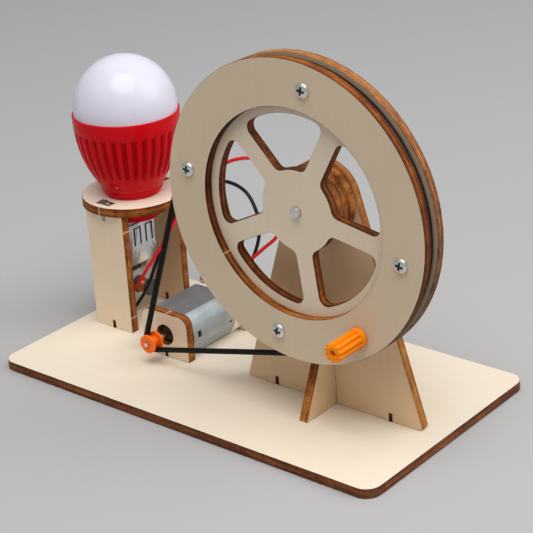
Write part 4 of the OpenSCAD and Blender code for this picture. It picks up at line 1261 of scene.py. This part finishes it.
@dataclass
class Wire:
    """One insulated wire, along the same points as its CAD solid, in millimetres."""

    node: str
    slot: Slot
    colour: Colour
    route: Tuple[Point, ...]
    diameter: float = 1.2
    fine: int = 6

    def _curve_point(self, i: int, t: float) -> Vector:
        """Point on the smooth curve through the route.

        Args:
            i: Number of the stretch.
            t: Share of the stretch.

        Returns:
            The point.
        """
        p = [Vector(q) for q in self.route]
        a, b, c, d = p[max(i - 1, 0)], p[i], p[i + 1], p[min(i + 2, len(p) - 1)]
        square = 2 * a - 5 * b + 4 * c - d
        cube = 3 * b - a - 3 * c + d
        return 0.5 * (2 * b + (c - a) * t + square * t ** 2 + cube * t ** 3)

    def build(self) -> None:
        stretches = len(self.route) - 1
        line = [self._curve_point(i, k / self.fine) * MM for i in range(stretches) for k in range(self.fine)]
        line.append(Vector(self.route[-1]) * MM)
        curve = bpy.data.curves.new(f"{self.node}_insulated", "CURVE")
        curve.dimensions = "3D"
        curve.bevel_depth = self.diameter * MM / 2
        curve.bevel_resolution = 5
        curve.use_fill_caps = True
        spline = curve.splines.new("POLY")
        spline.points.add(len(line) - 1)
        for point, place in zip(spline.points, line):
            point.co = (*place, 1.0)
        spline.use_smooth = True
        finish = Plastic(f"{self.node}_insulation", self.colour, 0.42, skin=0.01, tone=0.15, shine=0.25)
        curve.materials.append(finish.material())
        thing = Workshop.put(f"{self.node}_insulated", curve)
        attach(thing, Body.FRAME.value)
        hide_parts(self.node)


RED_ROUTE: Tuple[Point, ...] = (
    (-62.45, 5.4, 13), (-61, 5.4, 13), (-58, 5.2, 14), (-55, 5, 17), (-51, 7, 24), (-47, 11, 32),
    (-44, 15, 40), (-40, 18, 48), (-34, 20, 56), (-26, 21, 61), (-19, 21, 64), (-12, 21, 65),
    (-6, 21, 62.5), (-2, 20.5, 56), (-1, 20, 48), (-4, 19, 41), (-9, 18, 36), (-15, 17, 30.6),
    (-23, 16.4, 25.4), (-30, 16, 22.6), (-35, 15.5, 19.8))
BLACK_ROUTE: Tuple[Point, ...] = (
    (-62.45, 5.4, 7), (-61, 5.4, 7), (-58, 5, 8), (-55, 4.6, 10.5), (-51.4, 6.2, 17), (-49.5, 9.1, 24.6),
    (-48.3, 13.4, 32), (-46.2, 17.8, 40.8), (-39.5, 21.8, 48.5), (-33, 23.4, 52.3), (-26.5, 23.8, 53.2),
    (-20, 23.5, 51.4), (-15, 22, 47), (-13, 21, 41), (-14, 20, 34), (-17, 18.5, 27.4), (-21.4, 16.6, 22.8),
    (-25, 15.5, 19.8))


@dataclass
class Wiring:
    """Red and black wires between the motor and the step-up board."""

    wires: List[Wire] = field(default_factory=lambda: [
        Wire("red_wire", Slot.RED_WIRE, (0.84, 0.018, 0.028), RED_ROUTE),
        Wire("black_wire", Slot.BLACK_WIRE, (0.007, 0.007, 0.008), BLACK_ROUTE),
    ])

    def build(self) -> None:
        """Make both wires."""
        for wire in self.wires:
            wire.build()


@dataclass
class Studio:
    """Camera, soft lights and floor.

    Angles are in degrees and lengths in metres, apart from the sensor's width in millimetres.
    """

    azimuth: float = 40.67
    elevation: float = 23.72
    roll: float = -3.54
    distance: float = 0.61005
    target: Point = (-0.04799, 0.06407, 0.003)
    focal_px: float = 1678.28
    image_px: float = 533.0
    sensor: float = 36.0
    light_aim: Point = (0.0, 0.0, 0.04)
    floor_half: float = 6.0
    floor_z: float = -0.0002
    sky: Colour = (0.95, 0.97, 1.0)
    sky_strength: float = 0.33

    def camera(self) -> None:
        """Set the camera at the photo's view."""
        a, e, r = (math.radians(v) for v in (self.azimuth, self.elevation, self.roll))
        back = Vector((math.sin(a) * math.cos(e), -math.cos(a) * math.cos(e), math.sin(e)))
        right = Vector((math.cos(a), math.sin(a), 0.0))
        up = back.cross(right)
        across = right * math.cos(r) + up * math.sin(r)
        upward = up * math.cos(r) - right * math.sin(r)
        data = bpy.data.cameras.new("photo_camera")
        data.sensor_width = self.sensor
        data.lens = self.focal_px / self.image_px * self.sensor
        data.clip_start = 0.01
        camera = Workshop.put("photo_camera", data)
        pose = Matrix((across, upward, back)).transposed().to_4x4()
        pose.translation = Vector(self.target) + back * self.distance
        camera.matrix_world = pose
        bpy.context.scene.camera = camera

    def floor(self) -> None:
        """Lay the floor."""
        bm = bmesh.new()
        bmesh.ops.create_grid(bm, x_segments=1, y_segments=1, size=self.floor_half)
        bmesh.ops.translate(bm, vec=(0, 0, self.floor_z), verts=bm.verts)
        mesh = bpy.data.meshes.new("floor")
        bm.to_mesh(mesh)
        bm.free()
        mesh.materials.append(SweepPaper().material())
        thing = Workshop.put("floor", mesh)

    def lamp(self, name: str, place: Point, size: float, power: float, colour: Colour) -> None:
        """Hang one soft light.

        Args:
            name: Its name.
            place: Where it hangs.
            size: Its diameter.
            power: Its power in watts.
            colour: Its colour.
        """
        data = bpy.data.lights.new(name, "AREA")
        data.shape = "DISK"
        data.size = size
        data.energy = power
        data.color = colour
        lamp = Workshop.put(name, data)
        lamp.location = place
        lamp.rotation_euler = (Vector(self.light_aim) - Vector(place)).to_track_quat("-Z", "Y").to_euler()

    def world(self) -> None:
        """Fill the room with even light."""
        world = bpy.data.worlds.new("studio_room")
        world.use_nodes = True
        background = world.node_tree.nodes["Background"]
        background.inputs["Color"].default_value = (*self.sky, 1.0)
        background.inputs["Strength"].default_value = self.sky_strength
        bpy.context.scene.world = world

    def build(self) -> None:
        """Set up the view and the light."""
        self.camera()
        self.floor()
        self.lamp("key_softbox", (0.27, -0.31, 1.15), size=1.05, power=12.6, colour=(1.0, 0.985, 0.96))
        self.lamp("front_fill", (-0.45, -1.2, 0.60), size=0.9, power=0.5, colour=(1.0, 0.99, 0.97))
        self.lamp("right_softbox", (0.85, 0.50, 0.75), size=1.0, power=6.2, colour=(0.99, 0.99, 1.0))
        self.world()
        bpy.context.scene.view_settings.view_transform = "Standard"


def main() -> None:
    """Build the scene in order."""
    logging.basicConfig(level=logging.INFO, format="%(message)s")
    Studio().build()
    Wiring().build()
    Woodwork().build()
    CrankWheel().build()
    BeltDrive().build()
    ToyMotor().build()
    PlugLamp().build()
    BoosterBoard().build()


if __name__ == "__main__":
    main()
